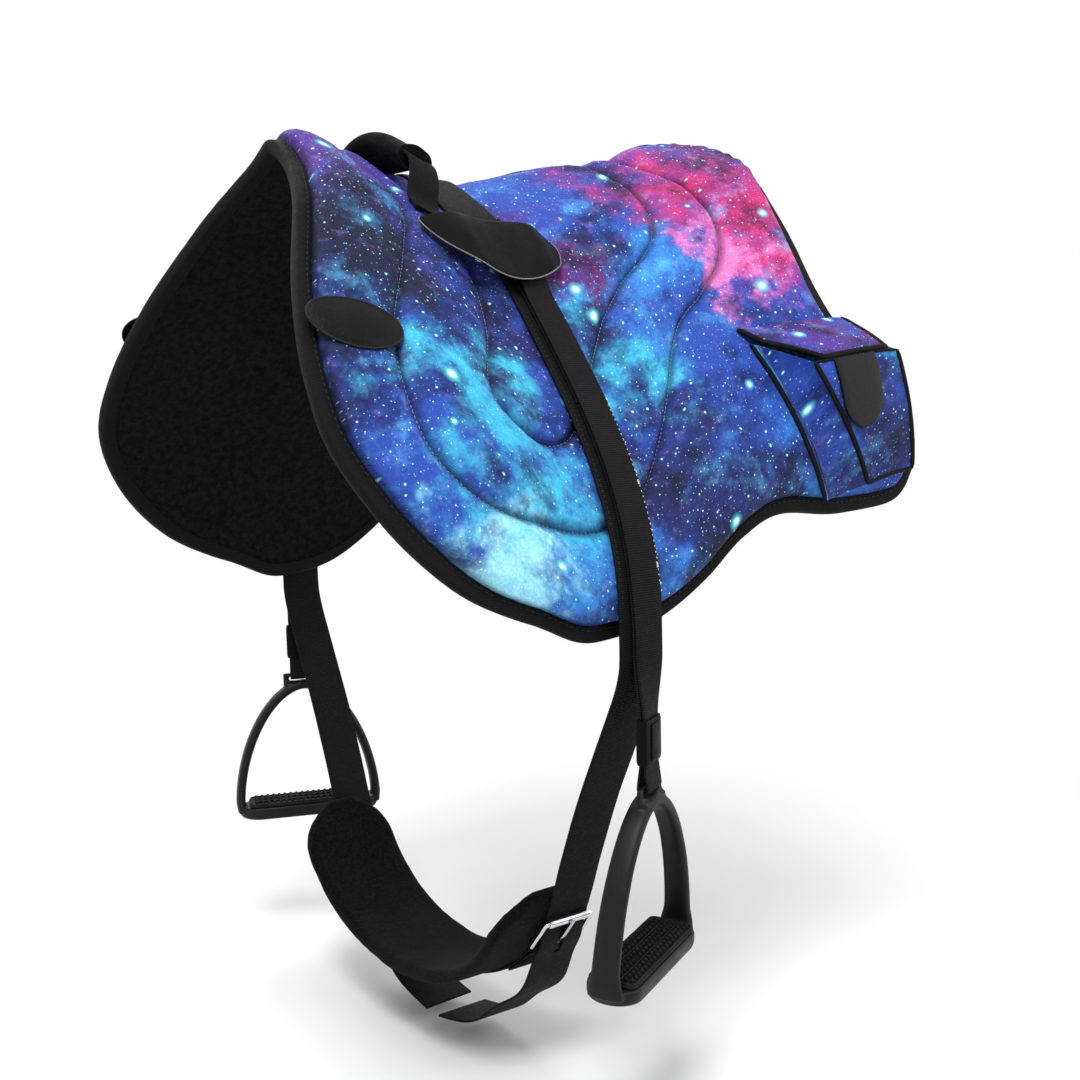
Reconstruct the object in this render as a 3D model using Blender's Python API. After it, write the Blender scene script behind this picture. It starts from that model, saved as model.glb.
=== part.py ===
"""Bareback pad for a horse: a quilted seat with girth, stirrups, ring covers and saddlebags.

Metres, +Z up. The spine of the horse runs along X, with its head towards -X, and its left side is -Y.
The origin lies on the horse's back, under the spine of the pad, where the stirrup straps hang.
Left and right pieces mirror each other across the plane of the spine.

Most pieces lie on the curved face of the pad. Their shapes are drawn in three face coordinates: x along
the spine, s round the body from the spine (left is negative), and h, the height above the face.
"""
import math

import bmesh
import bpy
import numpy as np

# The pad: its flat pattern, and the horse's body that it is bent over
PAD_LENGTH = 0.60
PAD_DROP = 0.50
HALF_GIRTH = 1.04
SPINE_RISE = 0.072
PAD_THICK = 0.0215
CLEARANCE = 0.0003
STRAP_SEAT = 0.0006

# Slope of the body below level, in degrees, at shares of the way from the spine to the belly
BODY_SHARES = (0, 0.019, 0.058, 0.096, 0.12, 0.192, 0.279, 0.346, 0.413, 0.457, 0.49, 0.51, 0.535,
               0.59, 0.67, 0.731, 0.769, 0.808, 0.846, 0.885, 0.933, 1)
BODY_SLOPES = (0, 27, 31.5, 39, 47, 51.5, 55, 63.5, 77, 88.5, 91, 108, 116, 116, 111.5, 112, 124, 140,
               154, 166, 176, 182)
WITHERS_STEEPER = 4
LOINS_FLATTER = 12
BELOW_PAD_SHARE = 0.54

# Height of the pad's face along the spine, at shares of the pad's length
SPINE_PLACE_SHARES = (-0.5, -0.333, -0.25, -0.167, -0.092, -0.067, -0.033, 0, 0.033, 0.067, 0.10,
                      0.167, 0.333, 0.5, 0.633, 0.75, 1)
SPINE_RISE_SHARES = (0.63, 0.76, 0.80, 0.66, 0.405, 0.352, 0.311, 0.2986, 0.301, 0.333, 0.39, 0.53,
                     0.80, 1, 1, 0.86, 0.56)

# Half of the pattern's edge, from the withers round the flap to the loins: shares of length and drop.
# The two quilting seams below it have their points in the same order, so that each row can be joined.
OUTLINE_SHARES = (
    (-0.283, 0), (-0.287, 0.09), (-0.322, 0.226), (-0.377, 0.40), (-0.408, 0.56), (-0.405, 0.70),
    (-0.342, 0.852), (-0.242, 0.968), (-0.108, 0.997), (-0.033, 0.99), (0.05, 0.974), (0.133, 0.948),
    (0.20, 0.914), (0.275, 0.906), (0.392, 0.956), (0.50, 0.974), (0.55, 0.93), (0.57, 0.84),
    (0.542, 0.73), (0.50, 0.63), (0.497, 0.52), (0.52, 0.40), (0.553, 0.26), (0.592, 0.15), (0.618, 0))
OUTER_SEAM_SHARES = (
    (-0.180, 0), (-0.162, 0.08), (-0.147, 0.20), (-0.200, 0.35), (-0.275, 0.524), (-0.287, 0.69),
    (-0.247, 0.784), (-0.187, 0.822), (-0.100, 0.82), (-0.033, 0.808), (0.030, 0.772), (0.083, 0.704),
    (0.133, 0.624), (0.175, 0.55), (0.208, 0.504), (0.238, 0.48), (0.267, 0.464), (0.297, 0.44),
    (0.320, 0.424), (0.343, 0.40), (0.367, 0.364), (0.388, 0.30), (0.392, 0.22), (0.378, 0.12),
    (0.350, 0))
INNER_SEAM_SHARES = (
    (-0.117, 0), (-0.105, 0.10), (-0.093, 0.22), (-0.080, 0.32), (-0.103, 0.45), (-0.147, 0.576),
    (-0.143, 0.636), (-0.100, 0.668), (-0.047, 0.65), (-0.005, 0.596), (0.030, 0.536), (0.067, 0.48),
    (0.100, 0.434), (0.133, 0.402), (0.163, 0.376), (0.188, 0.36), (0.212, 0.346), (0.233, 0.33),
    (0.248, 0.316), (0.262, 0.298), (0.276, 0.27), (0.288, 0.224), (0.296, 0.16), (0.298, 0.08),
    (0.293, 0))

# Lines of corners: half of them before the lowest point of the inner seam, which is at this share
RAY_COUNT = 40
LOWEST_SHARE = 0.3125
COLUMN_SHARES = (0, 0.10, 0.20, 0.33, 0.50, 0.73, 1)
SEAM_HALF_GAP = 0.00015

# Quilting and edge of the printed cover
COVER_LOFT = 0.0075
SEAM_DEPTH = 0.0048
SEAM_SHOULDER = 0.0012
SEAM_HALF_WIDTH = 0.010
EDGE_ROUND = 0.026
EDGE_CREST_DROP = 0.0015
COVER_EDGE_THICK = 0.0028
CANTLE_RISE = 0.007
FOAM_EDGE_THICK = 0.0030
LINING_THICK = 0.0022
BINDING_THICK = 0.0011
BINDING_WIDTH = 0.013

# Ends of the straight line from front to rear that all the straps lie flat on
STRAPS_FRONT_X = -0.042
STRAPS_REAR_X = 0.020

# Webbing across the back, with a rectangular ring in the loop at each end
BACK_STRAP_WIDTH = 0.050
BACK_STRAP_THICK = 0.0023
BACK_STRAP_X = -0.015
BACK_STRAP_TAIL = 0.024
RING_SEAT_S = 0.118
RING_WIRE = 0.0025
RING_SIDE_PLAY = 0.0105
RING_HEIGHT = 0.038
RING_CORNER = 0.004

# Webbing that carries the girth and the stirrups
BILLET_WIDTH = 0.044
BILLET_THICK = 0.0023
BILLET_X = -0.004
BILLET_TOP_S = 0.130
BILLET_TAIL = 0.165
BILLET_TAIL_SAG = 0.044
TAIL_PLACE_SHARES = (0.27, 0.46, 0.73, 1)
TAIL_SAG_SHARES = (0.36, 0.44, 0.86, 1)
STIRRUP_STRAP_WIDTH = 0.028
STIRRUP_STRAP_THICK = 0.0022
STIRRUP_STRAP_X = -0.0025
PLY_SPACE = 0.0009
STRAP_BEND_S = 0.475
HANG_SEAT = 0.0026
STRAP_HANG = 0.141
EYE_BAR = 0.003
STIRRUP_TWIST = 24
STIRRUP_LEAN = 3
KEEPER_HEIGHT = 0.036
KEEPER_THICK = 0.0022
KEEPER_ABOVE_EYE = 0.020

# Vinyl flap over each ring
RING_COVER_LENGTH = 0.134
RING_COVER_HEIGHT = 0.082
RING_COVER_THICK = 0.0022
RING_COVER_SEAT = 0.0022
RING_COVER_X = -0.026
RING_COVER_TOP_S = 0.098

# Stirrup of moulded plastic with a rubber tread
STIRRUP_INSIDE = 0.1265
STIRRUP_SPREAD = 0.150
LEG_THICK = 0.010
LEG_DEPTH = 0.019
BASE_THICK = 0.013
BASE_DEPTH = 0.046
ARCH_POWER = 1.8
EYE_WALL = 0.006
EYE_SIDE_PLAY = 0.004
EYE_SLOT_HEIGHT = 0.012
TREAD_LENGTH = 0.112
TREAD_DEPTH = 0.036
TREAD_THICK = 0.004
TREAD_RIB = 0.0022

# Girth under the belly and its roller buckles
GIRTH_WIDTH = 0.108
GIRTH_X = -0.025
GIRTH_THICK = 0.012
GIRTH_DROP = 0.0130
GIRTH_TOP_S = 0.752
GIRTH_WEB_WIDTH = 0.044
GIRTH_WEB_THICK = 0.0023
BUCKLE_WIRE = 0.0020
BUCKLE_HEIGHT = 0.034
BUCKLE_ROLLER_S = 0.776
BUCKLE_SIDE_PLAY = 0.003
BUCKLE_CORNER = 0.003
ROLLER_WALL = 0.0014
TONGUE_WIDTH = 0.004
TONGUE_THICK = 0.0016
TONGUE_SLOT = 0.0064
WEB_RETURN = 0.050

# Grab handle over the withers side of the back strap
HANDLE_X = -0.066
HANDLE_WIDTH = 0.030
HANDLE_THICK = 0.0030
HANDLE_FOOT_S = 0.104
HANDLE_BEND_S = 0.084
HANDLE_SHOULDER_S = 0.066
HANDLE_RISE = 0.0185
HANDLE_SHOULDER_RISE = 0.030
GRIP_HALF_LENGTH = 0.052
GRIP_WIDTH = 0.034
GRIP_THICK = 0.019

# Blank oval patch on the front of each flap
PATCH_X = -0.328 * PAD_LENGTH
PATCH_S = 0.247
PATCH_LENGTH = 0.078
PATCH_HEIGHT = 0.045
PATCH_THICK = 0.0012
PATCH_TILT = 24

# Saddlebag on the rear of each flap: corners in face coordinates
BAG_TOP_S = 0.298
BAG_RIM_S = 0.344
BAG_FOOT_S = 0.452
BAG_TOP_FRONT_X = 0.298 * PAD_LENGTH
BAG_TOP_REAR_X = 0.477 * PAD_LENGTH
BAG_FOOT_FRONT_X = 0.342 * PAD_LENGTH
BAG_FOOT_REAR_X = 0.527 * PAD_LENGTH
BAG_FOOT_INSET = 0.046
BAG_REAR_INSET_SHARE = 0.15
BAG_SKEW_SHARE = 0.2
BAG_RIM_DEPTH = 0.040
BAG_FOOT_DEPTH = 0.012
BAG_WALL = 0.0016
FLAP_HINGE_S = 0.281
FLAP_FRONT_X = 0.29 * PAD_LENGTH
FLAP_REAR_X = 0.485 * PAD_LENGTH
FLAP_THICK = 0.0022
FLAP_LIP = 0.003
FLAP_CORNER = 0.011
BAG_TAB_X = 0.405 * PAD_LENGTH
TAB_WIDTH = 0.046
TAB_LENGTH = 0.062
TAB_THICK = 0.0020
FASTENER_LENGTH = 0.030
FASTENER_WIDTH = 0.024
FASTENER_THICK = 0.0018

STEP_FINE = 0.009
STEP_PAD = 0.014
STEP_COARSE = 0.028
MERGE_DISTANCE = 0.00001


def smooth_through(knots, values):
    """Return a smooth function through the given values that never swings past them."""
    x = np.asarray(knots, float)
    y = np.asarray(values, float)
    width = np.diff(x)
    rate = np.diff(y) / width
    slope = np.zeros(len(x))
    slope[0], slope[-1] = rate[0], rate[-1]
    for i in range(1, len(x) - 1):
        if rate[i - 1] * rate[i] > 0:
            before = 2 * width[i] + width[i - 1]
            after = width[i] + 2 * width[i - 1]
            slope[i] = (before + after) / (before / rate[i - 1] + after / rate[i])

    def value_at(v):
        v = np.clip(v, x[0], x[-1])
        i = np.clip(np.searchsorted(x, v) - 1, 0, len(width) - 1)
        t = (v - x[i]) / width[i]
        return ((1 + 2 * t) * (1 - t) ** 2 * y[i] + t * (1 - t) ** 2 * width[i] * slope[i]
                + t * t * (3 - 2 * t) * y[i + 1] + t * t * (t - 1) * width[i] * slope[i + 1])

    return value_at


def ease(t):
    """Go smoothly from 0 to 1 while t goes from 0 to 1."""
    t = min(max(t, 0), 1)
    return t * t * (3 - 2 * t)


class PadFace:
    """The outer face of the pad, bent over the body, as points and outward directions."""

    def __init__(self, columns=161, rows=521):
        self.x = np.linspace(-PAD_LENGTH, PAD_LENGTH, columns)
        self.s = np.linspace(0, HALF_GIRTH, rows)
        spine = smooth_through([PAD_LENGTH * v for v in SPINE_PLACE_SHARES],
                               [SPINE_RISE * v for v in SPINE_RISE_SHARES])
        slope = smooth_through([HALF_GIRTH * v for v in BODY_SHARES], BODY_SLOPES)(self.s)
        lift = PAD_THICK - spine(np.array([0.0]))[0]
        step = self.s[1] - self.s[0]
        sides, heights = [], []
        for x in self.x:
            to_withers = min(max(-3 * x / PAD_LENGTH, 0), 1)
            to_loins = min(max(1.5 * x / PAD_LENGTH, 0), 1.2)
            near_top = np.exp(-(self.s / (0.32 * PAD_DROP)) ** 2)
            below_top = np.exp(-((self.s / PAD_DROP - 0.1) / 0.4) ** 2)
            tilt = slope + WITHERS_STEEPER * to_withers * near_top - LOINS_FLATTER * to_loins * below_top
            tilt = np.radians(np.maximum(tilt, 0))
            sides.append(self.sum_up(np.cos(tilt), step))
            heights.append(spine(np.array([x]))[0] + lift - self.sum_up(np.sin(tilt), step))
        grid_x = np.repeat(self.x[:, None], rows, axis=1)
        self.points = np.stack([grid_x, np.array(sides), np.array(heights)], axis=2)
        along = np.gradient(self.points, self.x, axis=0)
        down = np.gradient(self.points, self.s, axis=1)
        self.normals = np.cross(along, down)
        self.normals[:, 0, 1] = 0
        self.normals /= np.linalg.norm(self.normals, axis=2)[:, :, None]

    @staticmethod
    def sum_up(rate, step):
        """Add up a rate along the section, by trapezes."""
        return np.concatenate([[0], np.cumsum((rate[1:] + rate[:-1]) / 2 * step)])

    def look_up(self, table, x, s):
        """Read a table between its grid lines."""
        i = min(max((x - self.x[0]) / (self.x[1] - self.x[0]), 0), len(self.x) - 1.001)
        j = min(max(s / (self.s[1] - self.s[0]), 0), len(self.s) - 1.001)
        i0, j0 = int(i), int(j)
        u, v = i - i0, j - j0
        return ((1 - u) * (1 - v) * table[i0, j0] + u * (1 - v) * table[i0 + 1, j0]
                + (1 - u) * v * table[i0, j0 + 1] + u * v * table[i0 + 1, j0 + 1])

    def at(self, x, s, h):
        """Point at x along the spine, s round the body and h above the face."""
        side = -1 if s < 0 else 1
        mirror = np.array([1, side, 1])
        point = self.look_up(self.points, x, abs(s))
        outward = self.look_up(self.normals, x, abs(s))
        outward = outward / np.linalg.norm(outward)
        return (point + h * outward) * mirror


FACE = PadFace()


def across_pad(x, s, h):
    """Point on the straight line that the straps lie on from front to rear."""
    front = FACE.at(STRAPS_FRONT_X, s, h)
    rear = FACE.at(STRAPS_REAR_X, s, h)
    return front + (rear - front) * (x - STRAPS_FRONT_X) / (STRAPS_REAR_X - STRAPS_FRONT_X)


def material(name, colour, roughness, metallic=0.0):
    """Make a plain material with its colour, roughness and metal value."""
    finish = bpy.data.materials.new(name)
    finish.use_nodes = True
    shader = finish.node_tree.nodes["Principled BSDF"]
    shader.inputs["Base Color"].default_value = (*colour, 1)
    shader.inputs["Roughness"].default_value = roughness
    shader.inputs["Metallic"].default_value = metallic
    return finish


def make_object(name, points, faces, finish, origin=(0, 0, 0), crease=35):
    """Make one closed object from points in the pad's frame, with its origin where it turns."""
    mesh = bpy.data.meshes.new(name)
    home = np.asarray(origin, float)
    mesh.from_pydata([tuple(np.asarray(p, float) - home) for p in points], [], faces)
    work = bmesh.new()
    work.from_mesh(mesh)
    bmesh.ops.remove_doubles(work, verts=work.verts, dist=MERGE_DISTANCE)
    bmesh.ops.recalc_face_normals(work, faces=work.faces)
    work.to_mesh(mesh)
    work.free()
    mesh.materials.append(finish)
    mesh.shade_smooth()
    mesh.set_sharp_from_angle(angle=math.radians(crease))
    thing = bpy.data.objects.new(name, mesh)
    thing.location = home
    bpy.context.collection.objects.link(thing)
    return thing


def cut(thing, cutter):
    """Cut one object out of another, and leave the cutter out of the part."""
    cutter.hide_render = True
    cutter.display_type = "WIRE"
    step = thing.modifiers.new("cut " + cutter.name, "BOOLEAN")
    step.operation = "DIFFERENCE"
    step.object = cutter


def unite(thing, other):
    """Weld another shape into an object, so that the two are one body."""
    other.hide_render = True
    other.display_type = "WIRE"
    step = thing.modifiers.new("weld " + other.name, "BOOLEAN")
    step.operation = "UNION"
    step.object = other


def loft(rings, closed=False):
    """Join rings of corners, each to the next, into the points and faces of one body."""
    count = len(rings[0])
    points = [p for ring in rings for p in ring]
    faces = []
    spans = len(rings) if closed else len(rings) - 1
    for i in range(spans):
        here, there = i * count, (i + 1) % len(rings) * count
        for k in range(count):
            m = (k + 1) % count
            faces.append((here + k, here + m, there + m, there + k))
    if not closed:
        faces.append(tuple(range(count)))
        faces.append(tuple(range(len(points) - count, len(points))))
    return points, faces


def split_alike(points, faces):
    """Cut every four-cornered face in two, always rising to the rear, so that facing walls bend alike."""
    cut_faces = []
    for face in faces:
        if len(face) != 4:
            cut_faces.append(face)
            continue
        a, b, c, d = face
        first, second = points[c] - points[a], points[d] - points[b]
        if first[0] * first[2] > second[0] * second[2]:
            cut_faces += [(a, b, c), (a, c, d)]
        else:
            cut_faces += [(a, b, d), (b, c, d)]
    return cut_faces


def straight(start, end, step):
    """Points from start to end, about a step apart."""
    start, end = np.array(start, float), np.array(end, float)
    count = max(1, math.ceil(np.linalg.norm(end - start) / step))
    return [start + (end - start) * i / count for i in range(count + 1)]


def level_run(first, last, h, step):
    """Points at one height from first to last, with every whole number of steps between them."""
    low, high = min(first, last), max(first, last)
    marks = [step * n for n in range(math.ceil(low / step), math.floor(high / step) + 1)]
    places = [low] + [s for s in marks if low + step / 4 < s < high - step / 4] + [high]
    if first > last:
        places = places[::-1]
    return [np.array([s, h]) for s in places]


def arc(centre, radius, first, last, count):
    """Points round a centre, from one angle to another in degrees."""
    centre = np.array(centre, float)
    turns = [math.radians(first + (last - first) * i / count) for i in range(count + 1)]
    return [centre + radius * np.array([math.cos(a), math.sin(a)]) for a in turns]


def joined(*runs):
    """Chain runs of points, without repeating a point where two meet."""
    path = []
    for run in runs:
        for point in run:
            if not path or np.linalg.norm(np.asarray(point) - path[-1]) > MERGE_DISTANCE:
                path.append(np.asarray(point, float))
    return path


def side_steps(path):
    """Unit step to the left of a flat path at each point, longer on a corner to keep the width."""
    steps = []
    for i in range(len(path)):
        before = path[i] - path[i - 1] if i > 0 else path[1] - path[0]
        after = path[i + 1] - path[i] if i < len(path) - 1 else path[-1] - path[-2]
        before = before / np.linalg.norm(before)
        after = after / np.linalg.norm(after)
        middle = (before + after) / np.linalg.norm(before + after)
        normal = np.array([-middle[1], middle[0]])
        steps.append(normal / max(abs(middle @ before), 0.5))
    return steps


def strap_rings(path, thick, place, half_widths):
    """Cross-sections of a flat strap along a path, set in space by a place function."""
    rings = []
    for point, step, half in zip(path, side_steps(path), half_widths):
        low, high = point - step * thick / 2, point + step * thick / 2
        rings.append([place(-half, low), place(half, low), place(half, high), place(-half, high)])
    return rings


def face_strap(name, path, width, thick, x, side, finish, half_widths=None, put=across_pad, **options):
    """Strap whose path is drawn in s and h on one side of the pad."""
    halves = half_widths or [width / 2] * len(path)

    def place(across, point):
        return put(x + across, side * point[0], point[1])

    points, faces = loft(strap_rings(path, thick, place, halves))
    return make_object(name, points, faces, finish, **options)


def tube_rings(path, radius, corners, closed, across):
    """Round cross-sections along a path in space that lies in the plane square to `across`."""
    rings = []
    across = np.asarray(across, float) / np.linalg.norm(across)
    for i in range(len(path)):
        before = path[i] - path[i - 1] if closed or i > 0 else path[1] - path[0]
        following = path[(i + 1) % len(path)]
        after = following - path[i] if closed or i < len(path) - 1 else path[-1] - path[-2]
        along = before / np.linalg.norm(before) + after / np.linalg.norm(after)
        along = along / np.linalg.norm(along)
        other = np.cross(across, along)
        stretch = 1 / max(abs(along @ (before / np.linalg.norm(before))), 0.5)
        ring = []
        for k in range(corners):
            turn = 2 * math.pi * (k + 0.5) / corners
            ring.append(path[i] + radius * (math.cos(turn) * across + math.sin(turn) * stretch * other))
        rings.append(ring)
    return rings


def box_points(centre, axes, sizes):
    """Eight corners and six faces of a box along three given directions."""
    corners = []
    for i in (-1, 1):
        for j in (-1, 1):
            for k in (-1, 1):
                corners.append(np.asarray(centre) + i * axes[0] * sizes[0] / 2
                               + j * axes[1] * sizes[1] / 2 + k * axes[2] * sizes[2] / 2)
    faces = [(0, 1, 3, 2), (4, 6, 7, 5), (0, 4, 5, 1), (2, 3, 7, 6), (0, 2, 6, 4), (1, 5, 7, 3)]
    return corners, faces


def pattern_line(shares):
    """Places and inward directions of the rays on a smooth line through points of the pattern."""
    marks = [np.array([PAD_LENGTH * a, PAD_DROP * b]) for a, b in shares]
    spans = len(marks) - 1
    marks = [2 * marks[0] - marks[1]] + marks + [2 * marks[-1] - marks[-2]]
    places, steps = [], []
    half = RAY_COUNT // 2
    for j in range(RAY_COUNT + 1):
        if j < half:
            along = LOWEST_SHARE * j / half
        else:
            along = LOWEST_SHARE + (1 - LOWEST_SHARE) * (j - half) / half
        i = min(int(along * spans), spans - 1)
        t = along * spans - i
        p, q, r, w = marks[i:i + 4]
        bend = 2 * p - 5 * q + 4 * r - w
        twist = 3 * q - p - 3 * r + w
        places.append((2 * q + (r - p) * t + bend * t ** 2 + twist * t ** 3) / 2)
        heading = (r - p) + 2 * bend * t + 3 * twist * t ** 2
        heading = heading / np.linalg.norm(heading)
        steps.append(np.array([heading[1], -heading[0]]))
    steps[0] = np.array([1.0, 0.0])
    steps[-1] = np.array([-1.0, 0.0])
    return places, steps


INNER, INNER_STEPS = pattern_line(INNER_SEAM_SHARES)
OUTER, OUTER_STEPS = pattern_line(OUTER_SEAM_SHARES)
OUTLINE, INWARD = pattern_line(OUTLINE_SHARES)
COVER_INSET = BINDING_THICK + STRAP_SEAT
CREST_SHARE = 0.5


def moved(line, steps, distance):
    """Line moved inwards by a distance."""
    return [place + step * distance for place, step in zip(line, steps)]


def between(first, second, share):
    """Line at a share of the way from one line to another."""
    return [a + (b - a) * share for a, b in zip(first, second)]


def ladder(line):
    """Rows of places that cross the inside of a line, from its front side to its rear side."""
    rows = []
    for j in range(RAY_COUNT // 2 + 1):
        front, rear = line[j], line[RAY_COUNT - j]
        rows.append([front + (rear - front) * share for share in COLUMN_SHARES])
    return rows


def cantle(place):
    """Share of the roll behind the seat that a place on the pattern has."""
    back = ease((place[0] / PAD_LENGTH - 0.34) / 0.08)
    return back * (1 - ease((place[1] / PAD_DROP - 0.14) / 0.34))


SEAT_EDGE = moved(INNER, INNER_STEPS, SEAM_HALF_WIDTH)
CREST = moved(OUTLINE, INWARD, EDGE_ROUND)
BINDING_LINE = moved(OUTLINE, INWARD, BINDING_WIDTH + SEAM_SHOULDER)
LAYER_EDGE = moved(OUTLINE, INWARD, COVER_INSET)
EDGE_FLOOR = -PAD_THICK + BINDING_THICK + STRAP_SEAT
LINING_EDGE_TOP = EDGE_FLOOR + LINING_THICK
FOAM_EDGE_FLOOR = LINING_EDGE_TOP + CLEARANCE
FOAM_EDGE_TOP = FOAM_EDGE_FLOOR + FOAM_EDGE_THICK
COVER_EDGE_FLOOR = FOAM_EDGE_TOP + CLEARANCE
COVER_EDGE_TOP = COVER_EDGE_FLOOR + COVER_EDGE_THICK
BINDING_TOP = COVER_EDGE_TOP + STRAP_SEAT + BINDING_THICK


def plain_side(inside, at_edge):
    """Lines of a layer's plain side, with the height of each, from the seat's edge outwards."""
    lines = [(SEAT_EDGE, inside), (OUTER, inside), (CREST, inside)]
    return lines + [(BINDING_LINE, at_edge), (LAYER_EDGE, at_edge)]


def quilted_side():
    """Lines of the cover's printed side, which dips along the seams and swells between them."""
    inner_side = moved(INNER, INNER_STEPS, -SEAM_HALF_WIDTH)
    outer_side = moved(OUTER, OUTER_STEPS, SEAM_HALF_WIDTH)
    below = moved(OUTER, OUTER_STEPS, -SEAM_HALF_WIDTH)
    lines = [(SEAT_EDGE, -SEAM_SHOULDER), (INNER, -SEAM_DEPTH), (inner_side, -SEAM_SHOULDER)]
    lines += [(between(inner_side, outer_side, CREST_SHARE), 0.0), (outer_side, -SEAM_SHOULDER)]
    lines += [(OUTER, -SEAM_DEPTH), (below, -SEAM_SHOULDER)]
    lines += [(between(below, CREST, CREST_SHARE), 0.0), (CREST, -EDGE_CREST_DROP)]
    return lines + [(BINDING_LINE, COVER_EDGE_TOP), (LAYER_EDGE, COVER_EDGE_TOP)]


class Sheet:
    """Corners and triangles of one side of a pad layer, on one side of the spine."""

    def __init__(self, lines, seat_height, side, at_spine, first, rolled):
        self.side, self.at_spine, self.rolled, self.first = side, at_spine, rolled, first
        self.points, self.faces = [], []
        seat, edge_height = lines[0]
        rows = ladder(seat)
        across = len(COLUMN_SHARES)
        for places in rows:
            for i, place in enumerate(places):
                inner = 0 < i < across - 1
                self.add(place, seat_height if inner else edge_height)
        self.stitch(len(rows), across, 0)
        ring_start = len(self.points)
        for line, height in lines:
            for place in line:
                self.add(place, height)
        self.stitch(len(lines), RAY_COUNT + 1, ring_start)
        count = RAY_COUNT + 1
        ends = [ring_start + k * count for k in range(len(lines))]
        front = [first + n for n in ends[::-1]]
        rear = [first + n + RAY_COUNT for n in ends]
        self.spine = front + [first + i for i in range(1, across - 1)] + rear
        self.edge = [first + ends[-1] + j for j in range(count)]

    def add(self, place, height):
        """Put one corner on the body."""
        rise = height
        if self.rolled and height > -SEAM_DEPTH:
            rise += CANTLE_RISE * cantle(place)
        self.points.append(FACE.at(place[0], self.side * max(place[1], self.at_spine), rise))

    def stitch(self, rows, columns, start):
        """Join a grid of corners with triangles, all split the same way."""
        for k in range(rows - 1):
            for j in range(columns - 1):
                a = self.first + start + k * columns + j
                self.faces.append((a, a + 1, a + columns + 1))
                self.faces.append((a, a + columns + 1, a + columns))


def rim_faces(first, second):
    """Triangles that close the edge between two sheets."""
    faces = []
    for j in range(len(first) - 1):
        faces.append((first[j], first[j + 1], second[j + 1]))
        faces.append((first[j], second[j + 1], second[j]))
    return faces


def half_layer(name, top_lines, low_lines, heights, side, finish, rolled=False):
    """One side's half of a pad layer: two sheets, the edge between them and the wall at the spine."""
    top = Sheet(top_lines, heights[0], side, SEAM_HALF_GAP, 0, rolled)
    low = Sheet(low_lines, heights[1], side, SEAM_HALF_GAP, len(top.points), False)
    faces = top.faces + low.faces + rim_faces(top.edge, low.edge)
    faces.append(tuple(top.spine + low.spine[::-1]))
    return make_object(name, top.points + low.points, faces, finish)


def whole_layer(name, top_lines, low_lines, heights, finish):
    """A layer in one piece across the spine."""
    points, faces = [], []
    for side in (-1, 1):
        top = Sheet(top_lines, heights[0], side, 0.0, len(points), False)
        points += top.points
        low = Sheet(low_lines, heights[1], side, 0.0, len(points), False)
        points += low.points
        faces += top.faces + low.faces + rim_faces(top.edge, low.edge)
    return make_object(name, points, faces, finish)


def make_pad(print_cloth, foam, lining_cloth, webbing):
    """The seat: printed cover and foam in two halves, one lining and the binding round the edge."""
    cover_floor = -COVER_LOFT
    foam_top = cover_floor - CLEARANCE
    lining_top = -PAD_THICK + LINING_THICK
    foam_floor = lining_top + CLEARANCE
    for side, word in ((-1, "left"), (1, "right")):
        half_layer("cover_" + word, quilted_side(), plain_side(cover_floor, COVER_EDGE_FLOOR),
                   (0.0, cover_floor), side, print_cloth, rolled=True)
        half_layer("foam_" + word, plain_side(foam_top, FOAM_EDGE_TOP),
                   plain_side(foam_floor, FOAM_EDGE_FLOOR), (foam_top, foam_floor), side, foam)
    whole_layer("lining", plain_side(lining_top, LINING_EDGE_TOP), plain_side(-PAD_THICK, EDGE_FLOOR),
                (lining_top, -PAD_THICK), lining_cloth)
    floor = -PAD_THICK
    tape = [(0.0, floor), (BINDING_WIDTH, floor), (BINDING_WIDTH, floor + BINDING_THICK),
            (BINDING_THICK, floor + BINDING_THICK), (BINDING_THICK, BINDING_TOP - BINDING_THICK),
            (BINDING_WIDTH, BINDING_TOP - BINDING_THICK), (BINDING_WIDTH, BINDING_TOP), (0.0, BINDING_TOP)]
    rings = []
    for side in (-1, 1):
        order = range(RAY_COUNT + 1) if side < 0 else range(RAY_COUNT - 1, 0, -1)
        for j in order:
            ring = []
            for distance, height in tape:
                place = OUTLINE[j] + INWARD[j] * distance
                ring.append(FACE.at(place[0], side * max(place[1], 0.0), height))
            rings.append(ring)
    points, faces = loft(rings, closed=True)
    make_object("edge_binding", points, faces, webbing)


# Heights over the face of the stacked straps and of the ring's two bars
BACK_STRAP_H = STRAP_SEAT + BACK_STRAP_THICK / 2
RING_LOOP = RING_WIRE + CLEARANCE + BACK_STRAP_THICK / 2
RING_BAR_H = BACK_STRAP_H + RING_LOOP
BILLET_H = STRAP_SEAT + BILLET_THICK / 2
INNER_PLY_H = STRAP_SEAT + BILLET_THICK + CLEARANCE + STIRRUP_STRAP_THICK / 2
OUTER_PLY_H = INNER_PLY_H + STIRRUP_STRAP_THICK + PLY_SPACE
BOW_LOOP = RING_WIRE + 2 * CLEARANCE + STIRRUP_STRAP_THICK / 2
BOW_H = INNER_PLY_H + BOW_LOOP
BOW_S = RING_SEAT_S + RING_HEIGHT
RING_HALF_WIDTH = (BACK_STRAP_WIDTH + RING_SIDE_PLAY) / 2 + RING_WIRE
RING_X = BACK_STRAP_X


def strap_direction(s):
    """Unit direction to the rear along the line that the straps lie on."""
    step = across_pad(STRAPS_REAR_X, s, 0) - across_pad(STRAPS_FRONT_X, s, 0)
    return step / np.linalg.norm(step)


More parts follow.
